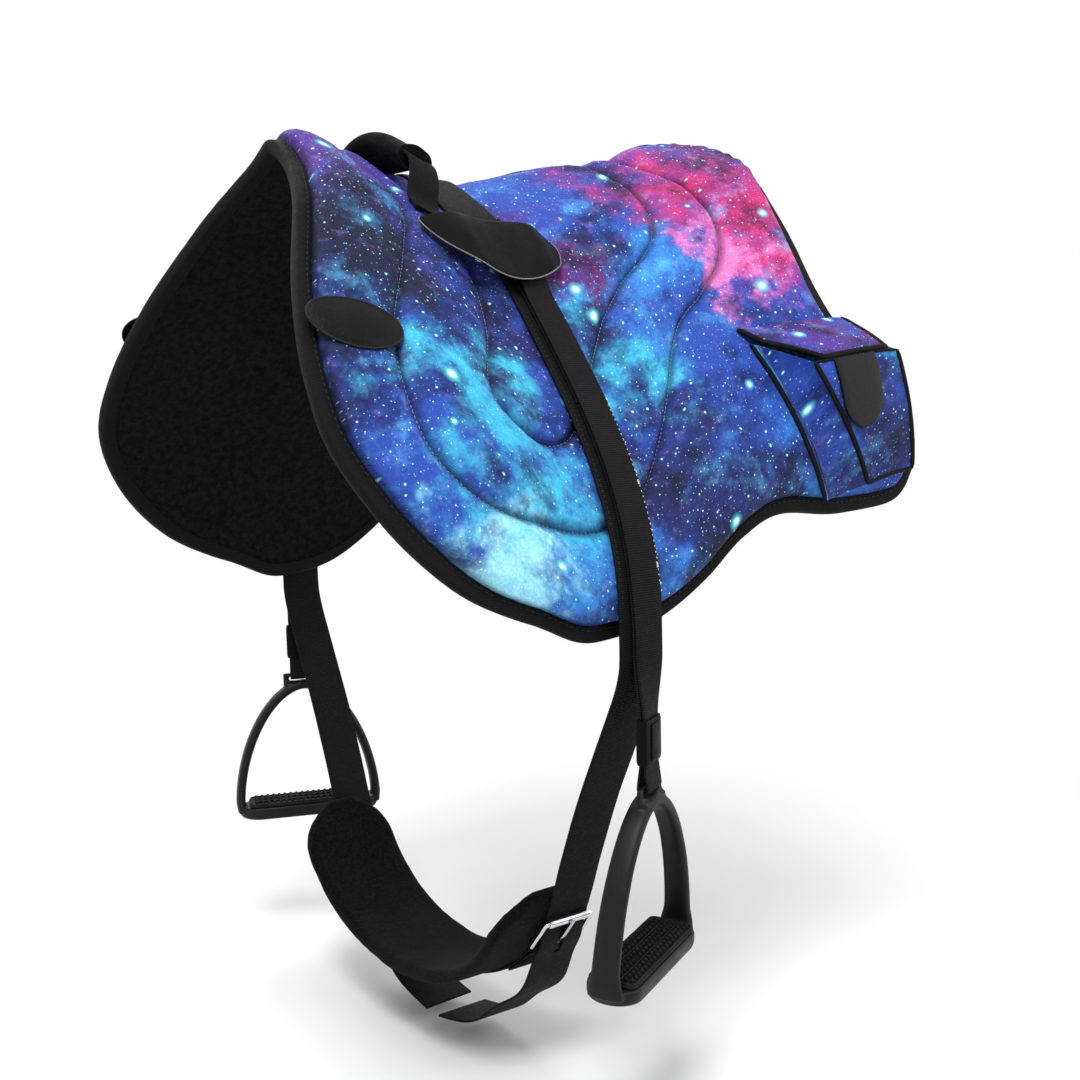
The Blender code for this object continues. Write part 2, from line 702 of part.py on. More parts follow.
def make_back_strap(webbing):
    """Webbing over the spine whose two ends loop round the rings and are sewn back down."""
    tuck_h = BACK_STRAP_H + BACK_STRAP_THICK + CLEARANCE
    level = level_run(0.0, RING_SEAT_S, BACK_STRAP_H, STEP_FINE)
    loop = arc((RING_SEAT_S, RING_BAR_H), RING_LOOP, -90, 115, 9)
    close_s = RING_SEAT_S - 3 * RING_LOOP
    back = level_run(close_s, RING_SEAT_S - BACK_STRAP_TAIL, tuck_h, STEP_FINE)
    half = joined(level, loop, back)
    path = [np.array([-p[0], p[1]]) for p in half[:0:-1]] + half
    steps = side_steps(path)
    rings = []
    for point, step in zip(path, steps):
        low = point - step * BACK_STRAP_THICK / 2
        high = point + step * BACK_STRAP_THICK / 2
        ends = (BACK_STRAP_X - BACK_STRAP_WIDTH / 2, BACK_STRAP_X + BACK_STRAP_WIDTH / 2)
        rings.append([across_pad(ends[0], *low), across_pad(ends[1], *low),
                      across_pad(ends[1], *high), across_pad(ends[0], *high)])
    points, faces = loft(rings)
    make_object("back_strap", points, faces, webbing)


def make_ring(side, word, steel):
    """Rectangular ring: its top bar lies in the back strap's loop, its lower bar carries the strap."""
    top = across_pad(RING_X, side * RING_SEAT_S, RING_BAR_H)
    bottom = across_pad(STIRRUP_STRAP_X, side * BOW_S, BOW_H)
    along = strap_direction(side * RING_SEAT_S)
    down = bottom - top
    down = down - along * (down @ along)
    half, tall, turn = RING_HALF_WIDTH, np.linalg.norm(down), RING_CORNER
    down = down / tall
    outline = joined(
        arc((half - turn, tall - turn), turn, 0, 90, 3), arc((turn - half, tall - turn), turn, 90, 180, 3),
        arc((turn - half, turn), turn, 180, 270, 3), arc((half - turn, turn), turn, 270, 360, 3))
    path = [top + along * p[0] + down * p[1] for p in outline]
    points, faces = loft(tube_rings(path, RING_WIRE, 8, True, np.cross(along, down)), closed=True)
    return make_object("ring_" + word, points, faces, steel, origin=top)


def make_billet(side, word, webbing):
    """Girth billet: sewn to the pad, free below its edge, through the buckle, with a hanging tail."""
    behind = GIRTH_TOP_H + CLEARANCE + BILLET_THICK / 2
    fold_top = PIVOT_H + FOLD_RADIUS + GIRTH_WEB_THICK / 2 + STRAP_SEAT + BILLET_THICK / 2
    tail_end = PIVOT_S + BILLET_TAIL
    knots = [BILLET_TOP_S, STRAP_BEND_S, GIRTH_TOP_S - BUCKLE_HEIGHT, GIRTH_TOP_S,
             BUCKLE_ROLLER_S + ROLLER_RADIUS, PIVOT_S - FOLD_RADIUS, PIVOT_S + FOLD_RADIUS]
    knots += [PIVOT_S + BILLET_TAIL * share for share in TAIL_PLACE_SHARES]
    heights = [BILLET_H, BILLET_H, BILLET_H, behind, behind, fold_top, fold_top]
    heights += [fold_top + BILLET_TAIL_SAG * share for share in TAIL_SAG_SHARES]
    height_at = smooth_through(knots, heights)
    below_pad = HALF_GIRTH * BELOW_PAD_SHARE
    near_girth = GIRTH_TOP_S - BUCKLE_HEIGHT
    places = joined(level_run(BILLET_TOP_S, below_pad, 0, STEP_PAD),
                    level_run(below_pad, near_girth, 0, STEP_COARSE * 2),
                    level_run(near_girth, PIVOT_S + STEP_COARSE, 0, STEP_FINE),
                    level_run(PIVOT_S + STEP_COARSE, tail_end, 0, STEP_COARSE))
    path = [np.array([p[0], float(height_at(p[0]))]) for p in places]
    billet = face_strap("billet_" + word, path, BILLET_WIDTH, BILLET_THICK, BILLET_X, side, webbing)
    first, last = BUCKLE_ROLLER_S + ROLLER_RADIUS / 2, PIVOT_S + FOLD_RADIUS / 2
    slot_points = []
    for s in (first, last):
        for h in (behind - BILLET_THICK, fold_top + BILLET_THICK):
            for across in (-TONGUE_SLOT / 2, TONGUE_SLOT / 2):
                slot_points.append(across_pad(BILLET_X + across, side * s, h))
    slot_faces = [(0, 1, 3, 2), (4, 6, 7, 5), (0, 4, 5, 1), (2, 3, 7, 6), (0, 2, 6, 4), (1, 5, 7, 3)]
    cut(billet, make_object("billet_slot_" + word, slot_points, slot_faces, webbing))


def bend_point(side):
    """Where the stirrup strap leaves the pad and hangs free."""
    middle = (INNER_PLY_H + OUTER_PLY_H) / 2 + HANG_SEAT
    return across_pad(STIRRUP_STRAP_X, side * STRAP_BEND_S, middle)


def rounded_halves(path, half, from_start, from_end):
    """Half-widths of a strap whose ends are round, measured along its path."""
    lengths = [0.0]
    for i in range(1, len(path)):
        lengths.append(lengths[-1] + np.linalg.norm(path[i] - path[i - 1]))
    widths = []
    for length in lengths:
        width = half
        for gap, rounded in ((length, from_start), (lengths[-1] - length, from_end)):
            if rounded and gap < half:
                width = min(width, math.sqrt(max(half ** 2 - (half - gap) ** 2, (half * 0.3) ** 2)))
        widths.append(width)
    return widths


def make_upper_strap(side, word, webbing):
    """Upper run of the stirrup strap: two plies on the billet, looped round the ring's lower bar."""
    half = STIRRUP_STRAP_WIDTH / 2
    inner_end = STRAP_BEND_S + half
    outer_end = STRAP_BEND_S - half - PLY_SPACE
    meet = BOW_S + 9 * BOW_LOOP
    inner = joined(level_run(inner_end, inner_end - half, INNER_PLY_H, STEP_PAD / 4),
                   level_run(inner_end - half, BOW_S, INNER_PLY_H, STEP_PAD))
    loop = arc((BOW_S, BOW_H), BOW_LOOP, 270, 90, 8)
    outer = joined([(BOW_S + 3 * BOW_LOOP, BOW_H + BOW_LOOP * 0.8)],
                   level_run(meet, outer_end, OUTER_PLY_H, STEP_PAD))
    path = joined(inner, loop, outer)
    widths = rounded_halves(path, half, True, False)
    origin = across_pad(RING_X, side * RING_SEAT_S, RING_BAR_H)
    face_strap("stirrup_strap_upper_" + word, path, STIRRUP_STRAP_WIDTH, STIRRUP_STRAP_THICK,
               STIRRUP_STRAP_X, side, webbing, half_widths=widths, origin=origin)


def hang_axes(side, drop):
    """Rearward and outward directions of the hanging strap at a depth below the bend."""
    start, end = STRAP_HANG * 0.22, STRAP_HANG - KEEPER_ABOVE_EYE - KEEPER_HEIGHT
    turn = math.radians(STIRRUP_TWIST) * ease((drop - start) / (end - start))
    rearward = np.array([math.cos(turn), -side * math.sin(turn), 0.0])
    outward = np.array([math.sin(turn), side * math.cos(turn), 0.0])
    return rearward, outward


EYE_LOOP = EYE_BAR + CLEARANCE + STIRRUP_STRAP_THICK / 2


def make_lower_strap(side, word, webbing, vinyl):
    """Hanging run of the stirrup strap, looped through the stirrup's eye, and its stitched keeper."""
    half = STIRRUP_STRAP_WIDTH / 2
    ply = (OUTER_PLY_H - INNER_PLY_H) / 2
    keeper_top = STRAP_HANG - KEEPER_ABOVE_EYE - KEEPER_HEIGHT
    keeper_end = STRAP_HANG - KEEPER_ABOVE_EYE
    outer = joined(straight((-half, ply), (0, ply), half / 4),
                   straight((0, ply), (keeper_end, ply), STEP_COARSE / 2))
    loop = arc((STRAP_HANG, 0.0), EYE_LOOP, 90, -90, 8)
    inner = straight((keeper_end, -ply), (half + PLY_SPACE, -ply), STEP_COARSE / 2)
    path = joined(outer, loop, inner)
    home = bend_point(side)

    def place(across, point):
        rearward, outward = hang_axes(side, point[0])
        return home + rearward * across + outward * point[1] - np.array([0.0, 0.0, point[0]])

    widths = rounded_halves(path, half, True, False)
    points, faces = loft(strap_rings(path, STIRRUP_STRAP_THICK, place, widths))
    make_object("stirrup_strap_lower_" + word, points, split_alike(points, faces), webbing, origin=home)
    rearward, outward = hang_axes(side, STRAP_HANG)
    inside = (half + CLEARANCE, ply + STIRRUP_STRAP_THICK / 2 + CLEARANCE)
    outside = (inside[0] + KEEPER_THICK, inside[1] + KEEPER_THICK)
    corners = []
    for across, out in (inside, outside):
        corners.append([(-across, -out), (across, -out), (across, out), (-across, out)])
    section = []
    for drop in (keeper_top, keeper_end):
        for ring in corners:
            section.append([home + rearward * a + outward * o - np.array([0, 0, drop]) for a, o in ring])
    rings = [section[0], section[1], section[3], section[2]]
    points, faces = loft(rings, closed=True)
    make_object("strap_keeper_" + word, points, faces, vinyl, origin=home)


def stirrup_section(centre, tangent, across, thick, depth):
    """Eight-cornered cross-section, thick in the stirrup's plane and deep across it."""
    side = np.cross(tangent, across)
    shape = ((1, 0.55), (0.6, 1), (-0.6, 1), (-1, 0.55), (-1, -0.55), (-0.6, -1), (0.6, -1), (1, -0.55))
    return [centre + side * a * thick / 2 + across * b * depth / 2 for a, b in shape]


def make_stirrup(side, word, plastic, rubber):
    """Stirrup iron with an eye for the strap, and the studded tread on its base."""
    home = bend_point(side) - np.array([0, 0, STRAP_HANG])
    rearward, outward = hang_axes(side, STRAP_HANG)
    lean = math.radians(STIRRUP_LEAN)
    up = np.array([0.0, 0.0, math.cos(lean)]) + outward * math.sin(lean)
    outward = outward * math.cos(lean) - np.array([0.0, 0.0, math.sin(lean)])
    apex = -(EYE_LOOP + STIRRUP_STRAP_THICK / 2 + STRAP_SEAT + LEG_THICK / 2)
    base_top = apex - LEG_THICK / 2 - STIRRUP_INSIDE
    half = STIRRUP_SPREAD / 2
    rise = apex - base_top
    stations_up = (1, 0.985, 0.93, 0.84, 0.72, 0.56, 0.38, 0.22, 0.11)
    right = []
    for share in stations_up:
        wide = half * (1 - share ** ARCH_POWER) ** (1 / ARCH_POWER)
        swell = 1 + 0.25 * (1 - share)
        right.append((wide, base_top + rise * share, LEG_THICK, LEG_DEPTH * swell))
    base_mid = base_top - BASE_THICK / 2
    corner = []
    turn_radius = BASE_THICK
    for angle, deep in ((-10, 0.62), (-40, 0.76), (-70, 0.88), (-90, 0.94)):
        a = half - turn_radius + turn_radius * math.cos(math.radians(angle))
        z = base_mid + turn_radius + turn_radius * math.sin(math.radians(angle))
        share = -angle / 90
        thick = LEG_THICK + (BASE_THICK - LEG_THICK) * share
        corner.append((a, z, thick, BASE_DEPTH * deep))
    corner.append((TREAD_LENGTH / 4, base_mid, BASE_THICK, BASE_DEPTH))
    run = right + corner
    mirrored = [(-a, z, thick, depth) for a, z, thick, depth in run[::-1]]
    loop = run + mirrored[:-1]
    centres = [home + rearward * a + up * z for a, z, _, _ in loop]
    rings = []
    for i, (_, _, thick, depth) in enumerate(loop):
        tangent = centres[(i + 1) % len(loop)] - centres[i - 1]
        tangent = tangent / np.linalg.norm(tangent)
        rings.append(stirrup_section(centres[i], tangent, outward, thick, depth))
    points, faces = loft(rings, closed=True)
    iron = make_object("stirrup_" + word, points, faces, plastic, origin=home)
    slot_half = STIRRUP_STRAP_WIDTH / 2 + EYE_SIDE_PLAY / 2
    bar = EYE_BAR * 0.7
    eye_low = apex
    bar_low = -bar
    outer_size = (2 * (slot_half + EYE_WALL), 2 * bar, bar - eye_low)
    centre = home + up * (bar + eye_low) / 2
    block_points, block_faces = box_points(centre, (rearward, outward, up), outer_size)
    block = make_object("eye_block_" + word, block_points, block_faces, plastic)
    unite(iron, block)
    slot_low = apex + LEG_THICK * 0.46
    slot_size = (2 * slot_half, 6 * EYE_BAR, bar_low - slot_low)
    slot_points, slot_faces = box_points(home + up * (bar_low + slot_low) / 2,
                                         (rearward, outward, up), slot_size)
    cut(iron, make_object("eye_slot_" + word, slot_points, slot_faces, plastic))
    make_tread(word, rubber, home, (rearward, outward, up), base_top)


def make_tread(word, rubber, home, axes, base_top):
    """Rubber tread: a plate with rows of low studs."""
    rearward, outward, up = axes
    floor = base_top + CLEARANCE
    columns, rows = 14, 6
    points, faces = [], []
    for level in (0, 1):
        for i in range(columns + 1):
            for k in range(rows + 1):
                a = TREAD_LENGTH * (i / columns - 0.5)
                b = TREAD_DEPTH * (k / rows - 0.5)
                stud = (i % 2) * (k % 2) * 1.0
                inner = 0 < i < columns and 0 < k < rows
                rise = TREAD_THICK + TREAD_RIB * stud * inner if level else 0
                points.append(home + rearward * a + outward * b + up * (floor + rise))
    count = (columns + 1) * (rows + 1)
    for i in range(columns):
        for k in range(rows):
            a = i * (rows + 1) + k
            faces.append((count + a, count + a + 1, count + a + rows + 2, count + a + rows + 1))
    border = [i * (rows + 1) for i in range(columns + 1)]
    border += [columns * (rows + 1) + k for k in range(1, rows + 1)]
    border += [i * (rows + 1) + rows for i in range(columns - 1, -1, -1)]
    border += [k for k in range(rows - 1, 0, -1)]
    for first, second in zip(border, border[1:] + border[:1]):
        faces.append((first, second, count + second, count + first))
    faces.append(tuple(border))
    used = sorted({n for face in faces for n in face})
    number = {n: m for m, n in enumerate(used)}
    faces = [tuple(number[n] for n in face) for face in faces]
    make_object("stirrup_tread_" + word, [points[n] for n in used], faces, rubber, origin=home)


COVER_LAP_H = BACK_STRAP_H + 1.5 * BACK_STRAP_THICK + CLEARANCE + RING_COVER_SEAT
COVER_PEAK_H = BOW_H + BOW_LOOP + STIRRUP_STRAP_THICK / 2 + RING_COVER_SEAT


def make_ring_cover(side, word, vinyl):
    """Oval vinyl flap, sewn to the back strap along its top and domed over the ring."""
    centre_s = RING_COVER_TOP_S + RING_COVER_HEIGHT / 2
    under = smooth_through(
        [RING_COVER_TOP_S, RING_COVER_TOP_S + RING_WIRE * 4, BOW_S - RING_WIRE * 4,
         RING_COVER_TOP_S + RING_COVER_HEIGHT],
        [COVER_LAP_H, COVER_PEAK_H - RING_WIRE, COVER_PEAK_H, COVER_PEAK_H])
    rim_h = STRAP_SEAT * 4

    over_ring = RING_HALF_WIDTH + RING_WIRE * 2

    def height(x_off, s):
        from_ring = RING_COVER_X + x_off - RING_X
        way = 1 if from_ring > 0 else -1
        tip = abs(RING_COVER_X + way * RING_COVER_LENGTH / 2 - RING_X)
        fade = ease((abs(from_ring) - over_ring) / (tip - over_ring))
        return float(under(s)) * (1 - fade) + rim_h * fade

    sectors = 24
    rings = (0.3, 0.55, 0.8, 1)
    points, faces = [], []
    for lift in (0.0, RING_COVER_THICK):
        start = len(points)
        points.append(FACE.at(RING_COVER_X, side * centre_s, height(0, centre_s) + lift))
        for share in rings:
            for k in range(sectors):
                turn = 2 * math.pi * k / sectors
                a = share * RING_COVER_LENGTH / 2 * math.cos(turn)
                s = centre_s + share * RING_COVER_HEIGHT / 2 * math.sin(turn)
                points.append(FACE.at(RING_COVER_X + a, side * s, height(a, s) + lift))
        for k in range(sectors):
            m = (k + 1) % sectors
            faces.append((start, start + 1 + k, start + 1 + m))
            for r in range(len(rings) - 1):
                first = start + 1 + r * sectors
                faces.append((first + k, first + sectors + k, first + sectors + m, first + m))
    half = len(points) // 2
    last = 1 + (len(rings) - 1) * sectors
    for k in range(sectors):
        m = (k + 1) % sectors
        faces.append((last + k, last + m, half + last + m, half + last + k))
    hinge = FACE.at(RING_COVER_X, side * RING_COVER_TOP_S, float(under(RING_COVER_TOP_S)))
    make_object("ring_cover_" + word, points, faces, vinyl, origin=hinge)


# Girth and buckle: heights over the face, which below the pad is the line of the billets
GIRTH_BAND_TOP = -GIRTH_DROP + GIRTH_THICK
GIRTH_WEB_H = GIRTH_BAND_TOP + CLEARANCE + GIRTH_WEB_THICK / 2
GIRTH_TOP_H = GIRTH_WEB_H + GIRTH_WEB_THICK / 2
FOLD_RADIUS = BUCKLE_WIRE + CLEARANCE + GIRTH_WEB_THICK / 2
PIVOT_H = GIRTH_WEB_H + FOLD_RADIUS
PIVOT_S = BUCKLE_ROLLER_S + BUCKLE_HEIGHT
ROLLER_RADIUS = BUCKLE_WIRE + CLEARANCE + ROLLER_WALL
ROLLER_H = GIRTH_TOP_H + CLEARANCE + BILLET_THICK + STRAP_SEAT + ROLLER_RADIUS


def belly_middle():
    """Distance round the body at which the section comes back to the middle, under the belly."""
    low, high = PIVOT_S, HALF_GIRTH
    for _ in range(40):
        middle = (low + high) / 2
        if across_pad(BILLET_X, middle, 0)[1] > 0:
            low = middle
        else:
            high = middle
    return low


BELLY_S = belly_middle()


def round_the_belly(path_half):
    """Continue a path on the left side across the belly to the right side."""
    left = [(-p[0], p[1]) for p in path_half]
    right = [(p[0], p[1]) for p in path_half[-2::-1]]
    return left + right


def make_girth(felt, webbing):
    """Padded girth band with round ends, and the webbing on it that holds the buckles."""
    half = GIRTH_WIDTH / 2
    middle = GIRTH_BAND_TOP - GIRTH_THICK / 2
    ends = straight((GIRTH_TOP_S, middle), (GIRTH_TOP_S + half, middle), half / 5)
    rest = level_run(GIRTH_TOP_S + half, BELLY_S, middle, STEP_PAD)
    run = joined(ends, rest)
    widths = rounded_halves(run, half, True, False)
    path = round_the_belly(run)
    halves = widths + widths[-2::-1]
    rings = []
    for (s, h), half_width in zip(path, halves):
        low, high = h - GIRTH_THICK / 2, h + GIRTH_THICK / 2
        x0, x1 = GIRTH_X - half_width, GIRTH_X + half_width
        soft = GIRTH_THICK * 0.35
        x2, x3 = x0 + soft, x1 - soft
        rings.append([across_pad(x2, s, low), across_pad(x3, s, low), across_pad(x1, s, h),
                      across_pad(x3, s, high), across_pad(x2, s, high), across_pad(x0, s, h)])
    points, faces = loft(rings)
    make_object("girth_band", points, faces, felt)
    web = []
    back_h = PIVOT_H + FOLD_RADIUS
    tuck_h = GIRTH_WEB_H + GIRTH_WEB_THICK + CLEARANCE
    settle = PIVOT_S + 4 * FOLD_RADIUS
    web += level_run(PIVOT_S + WEB_RETURN, settle, tuck_h, STEP_PAD)
    web += [np.array([PIVOT_S + FOLD_RADIUS, back_h * 0.9 + tuck_h * 0.1])]
    web += arc((PIVOT_S, PIVOT_H), FOLD_RADIUS, 90, 270, 8)
    web += level_run(PIVOT_S, BELLY_S, GIRTH_WEB_H, STEP_PAD)
    path = round_the_belly(joined(web))
    rings = []
    flat = [np.array([p[0], p[1]]) for p in path]
    flat_steps = side_steps(joined(web))
    count = len(flat_steps)
    for i, (s, h) in enumerate(flat):
        step = flat_steps[i] if i < count else flat_steps[2 * count - 2 - i]
        own = -1 if s < 0 else 1
        ring = []
        for way in (-1, 1):
            t = abs(s) + way * step[0] * GIRTH_WEB_THICK / 2
            ring.append((own * t, h + way * step[1] * GIRTH_WEB_THICK / 2))
        x0, x1 = BILLET_X - GIRTH_WEB_WIDTH / 2, BILLET_X + GIRTH_WEB_WIDTH / 2
        rings.append([across_pad(x0, *ring[0]), across_pad(x1, *ring[0]), across_pad(x1, *ring[1]),
                      across_pad(x0, *ring[1])])
    points, faces = loft(rings)
    web = make_object("girth_webbing", points, faces, webbing)
    for side, word in ((-1, "left"), (1, "right")):
        slot = []
        for s in (PIVOT_S - 2 * FOLD_RADIUS, PIVOT_S + 1.6 * FOLD_RADIUS):
            for h in (GIRTH_WEB_H - GIRTH_WEB_THICK, PIVOT_H + 3 * FOLD_RADIUS):
                for across in (-TONGUE_SLOT / 2, TONGUE_SLOT / 2):
                    slot.append(across_pad(BILLET_X + across, side * s, h))
        order = [(0, 1, 3, 2), (4, 6, 7, 5), (0, 4, 5, 1), (2, 3, 7, 6), (0, 2, 6, 4), (1, 5, 7, 3)]
        cut(web, make_object("fold_slot_" + word, slot, order, webbing))


def make_buckle(side, word, steel):
    """Roller buckle: wire frame, roller round its top bar and a tongue round its lower bar."""
    half = BILLET_WIDTH / 2 + BUCKLE_SIDE_PLAY / 2 + BUCKLE_WIRE
    roller = across_pad(BILLET_X, side * BUCKLE_ROLLER_S, ROLLER_H)
    pivot = across_pad(BILLET_X, side * PIVOT_S, PIVOT_H)
    along = strap_direction(side * BUCKLE_ROLLER_S)
    down = pivot - roller
    down = down - along * (down @ along)
    tall = np.linalg.norm(down)
    down = down / tall
    turn = BUCKLE_CORNER
    outline = joined(
        arc((half - turn, tall - turn), turn, 0, 90, 2), arc((turn - half, tall - turn), turn, 90, 180, 2),
        arc((turn - half, turn), turn, 180, 270, 2), arc((half - turn, turn), turn, 270, 360, 2))
    path = [roller + along * p[0] + down * p[1] for p in outline]
    points, faces = loft(tube_rings(path, BUCKLE_WIRE, 8, True, np.cross(along, down)), closed=True)
    make_object("buckle_frame_" + word, points, faces, steel)
    out = np.cross(along, down)
    corners = 14
    length = 2 * (half - turn) - 2 * CLEARANCE
    circles = []
    for radius, x in ((ROLLER_RADIUS, -1), (ROLLER_RADIUS, 1), (BUCKLE_WIRE + CLEARANCE, 1),
                      (BUCKLE_WIRE + CLEARANCE, -1)):
        grow = 1 / math.cos(math.pi / corners) if radius < ROLLER_RADIUS else 1
        circle = []
        for k in range(corners):
            a = 2 * math.pi * k / corners
            circle.append(roller + along * x * length / 2
                          + radius * grow * (math.cos(a) * down + math.sin(a) * out))
        circles.append(circle)
    points, faces = loft(circles, closed=True)
    make_object("buckle_roller_" + word, points, faces, steel, origin=roller)
    make_tongue(side, word, steel, roller, pivot, down, along)


def make_tongue(side, word, steel, roller, pivot, down, along):
    """Tongue: an open curl round the lower bar, with its prong lying on the roller."""
    out = np.cross(along, down)
    if out @ np.array([0.0, side, 0.0]) < 0:
        out = -out
    tall = np.linalg.norm(pivot - roller)
    curl = BUCKLE_WIRE + CLEARANCE + TONGUE_THICK / 2
    rest = ROLLER_RADIUS + CLEARANCE + TONGUE_THICK / 2
    middle = (-tall * 0.5, (curl + rest) / 2 + TONGUE_THICK / 2)
    path = joined(arc((0.0, 0.0), curl, -150, 90, 10), [middle],
                  [(-tall + rest * 0.9, rest), (-tall - rest * 0.7, rest)])

    def place(across, point):
        return pivot + along * across + down * point[0] + out * point[1]

    halves = [TONGUE_WIDTH / 2] * len(path)
    points, faces = loft(strap_rings(path, TONGUE_THICK, place, halves))
    make_object("buckle_tongue_" + word, points, faces, steel, origin=pivot)


def make_handle(webbing, grip_cloth):
    """Grab handle: webbing sewn down at both feet, arched over the spine, in a padded grip."""
    foot_h = STRAP_SEAT + HANDLE_THICK / 2
    rise_at = smooth_through([0, HANDLE_SHOULDER_S / 2, HANDLE_SHOULDER_S],
                             [HANDLE_RISE, HANDLE_RISE * 1.15, HANDLE_SHOULDER_RISE])
    spots = [GRIP_HALF_LENGTH * i / 7 for i in range(8)]
    half = [(s, float(rise_at(s))) for s in spots + [HANDLE_SHOULDER_S]]
    bend = HANDLE_SHOULDER_S * 0.3 + HANDLE_BEND_S * 0.7
    half += [(bend, HANDLE_SHOULDER_RISE * 0.86), (HANDLE_BEND_S, HANDLE_SHOULDER_RISE * 0.45)]
    half = joined(half, level_run(HANDLE_BEND_S + HANDLE_THICK, HANDLE_FOOT_S, foot_h, STEP_FINE))
    path = [np.array([-p[0], p[1]]) for p in half[:0:-1]] + half
    centres = [FACE.at(HANDLE_X, *p) for p in path]
    frames = []
    for i, point in enumerate(path):
        front = FACE.at(HANDLE_X - HANDLE_WIDTH / 2, *point)
        rear = FACE.at(HANDLE_X + HANDLE_WIDTH / 2, *point)
        along = (rear - front) / np.linalg.norm(rear - front)
        ahead = centres[min(i + 1, len(path) - 1)] - centres[max(i - 1, 0)]
        up = np.cross(along, ahead)
        frames.append((along, up / np.linalg.norm(up)))

    def ring_at(i, corners):
        along, up = frames[i]
        return [centres[i] + along * a + up * b for a, b in corners]

    flat, thin = HANDLE_WIDTH / 2, HANDLE_THICK / 2
    band = [(-flat, -thin), (flat, -thin), (flat, thin), (-flat, thin)]
    points, faces = loft([ring_at(i, band) for i in range(len(path))])
    make_object("handle_strap", points, faces, webbing)
    turns = [2 * math.pi * (k + 0.5) / 12 for k in range(12)]
    skin = [(GRIP_WIDTH / 2 * math.cos(a), GRIP_THICK / 2 * math.sin(a)) for a in turns]
    hole = []
    for a in turns:
        reach = max(abs(math.cos(a)), abs(math.sin(a)))
        hole.append(((flat + CLEARANCE) * math.cos(a) / reach, (thin + CLEARANCE) * math.sin(a) / reach))
    middle = len(path) // 2
    gripped = range(middle - len(spots) + 1, middle + len(spots))
    rings = [ring_at(i, skin) for i in gripped] + [ring_at(i, hole) for i in reversed(gripped)]
    points, faces = loft(rings, closed=True)
    make_object("handle_grip", points, faces, grip_cloth)


def make_patch(side, word, vinyl):
    """Blank oval patch sewn on the front of the flap."""
    tilt = math.radians(PATCH_TILT)
    sectors = 20
    points, faces = [], []
    for lift in (STRAP_SEAT, STRAP_SEAT + PATCH_THICK):
        start = len(points)
        points.append(FACE.at(PATCH_X, side * PATCH_S, lift))
        for k in range(sectors):
            a = 2 * math.pi * k / sectors
            u, v = PATCH_LENGTH / 2 * math.cos(a), PATCH_HEIGHT / 2 * math.sin(a)
            x = PATCH_X + u * math.cos(tilt) - v * math.sin(tilt)
            s = PATCH_S + u * math.sin(tilt) + v * math.cos(tilt)
            points.append(FACE.at(x, side * s, lift))
        for k in range(sectors):
            faces.append((start, start + 1 + k, start + 1 + (k + 1) % sectors))
    for k in range(sectors):
        m = (k + 1) % sectors
        faces.append((1 + k, 1 + m, sectors + 2 + m, sectors + 2 + k))
    make_object("name_patch_" + word, points, faces, vinyl)


def bag_point(side, x, s, h):
    """Point of the bag, whose top edges run down towards the rear."""
    fade = 1 - min(max((s - BAG_TOP_S) / (BAG_FOOT_S - BAG_TOP_S), 0), 1)
    return FACE.at(x, side * (s + BAG_SKEW_SHARE * (x - BAG_TOP_FRONT_X) * fade), h)


def panel_depth(s):
    """Height of the bag's front panel over the pad."""
    down = max((s - BAG_RIM_S) / (BAG_FOOT_S - BAG_RIM_S), 0)
    return BAG_RIM_DEPTH + (BAG_FOOT_DEPTH - BAG_RIM_DEPTH) * down


def bag_ring(side, down, wall):
    """Corners round the bag at a share of the way down: four on the pad and two on the front panel."""
    back_s = BAG_TOP_S + (BAG_FOOT_S - BAG_TOP_S) * down
    panel_s = BAG_RIM_S + (BAG_FOOT_S - BAG_RIM_S) * down

    def edges(s, height):
        """Front and rear x of the leaning side walls at a height over the pad."""
        share = (s - BAG_TOP_S) / (BAG_FOOT_S - BAG_TOP_S)
        front = BAG_TOP_FRONT_X + (BAG_FOOT_FRONT_X - BAG_TOP_FRONT_X) * share
        rear = BAG_TOP_REAR_X + (BAG_FOOT_REAR_X - BAG_TOP_REAR_X) * share
        front_lean = BAG_FOOT_INSET * share / panel_depth(s)
        rear_lean = front_lean * BAG_REAR_INSET_SHARE
        return (front + front_lean * height + wall * math.hypot(1, front_lean),
                rear - rear_lean * height - wall * math.hypot(1, rear_lean))

    front, rear = edges(back_s, wall)
    floor = STRAP_SEAT + wall
    ring = [(front + (rear - front) * share, back_s, floor) for share in (0, 1 / 3, 2 / 3, 1)]
    depth = panel_depth(panel_s) - wall
    front, rear = edges(panel_s, depth)
    ring += [(rear, panel_s, depth), (front, panel_s, depth)]
    return [bag_point(side, *corner) for corner in ring]


def make_bag(side, word, print_cloth, webbing, vinyl):
    """Saddlebag: pocket open at its top, lid flap with a vinyl tab, and the hook patch under the tab."""
    ways = np.linspace(1, 0, 11)
    deepest = 1 - 4 * BAG_WALL / (BAG_FOOT_S - BAG_RIM_S)
    rings = [bag_ring(side, way, 0) for way in ways]
    rings += [bag_ring(side, way, BAG_WALL) for way in list(ways[:0:-1]) + [deepest]]
    points, faces = loft(rings)
    make_object("bag_body_" + word, points, split_alike(points, faces), print_cloth)
    make_flap(side, word, print_cloth, vinyl, webbing)


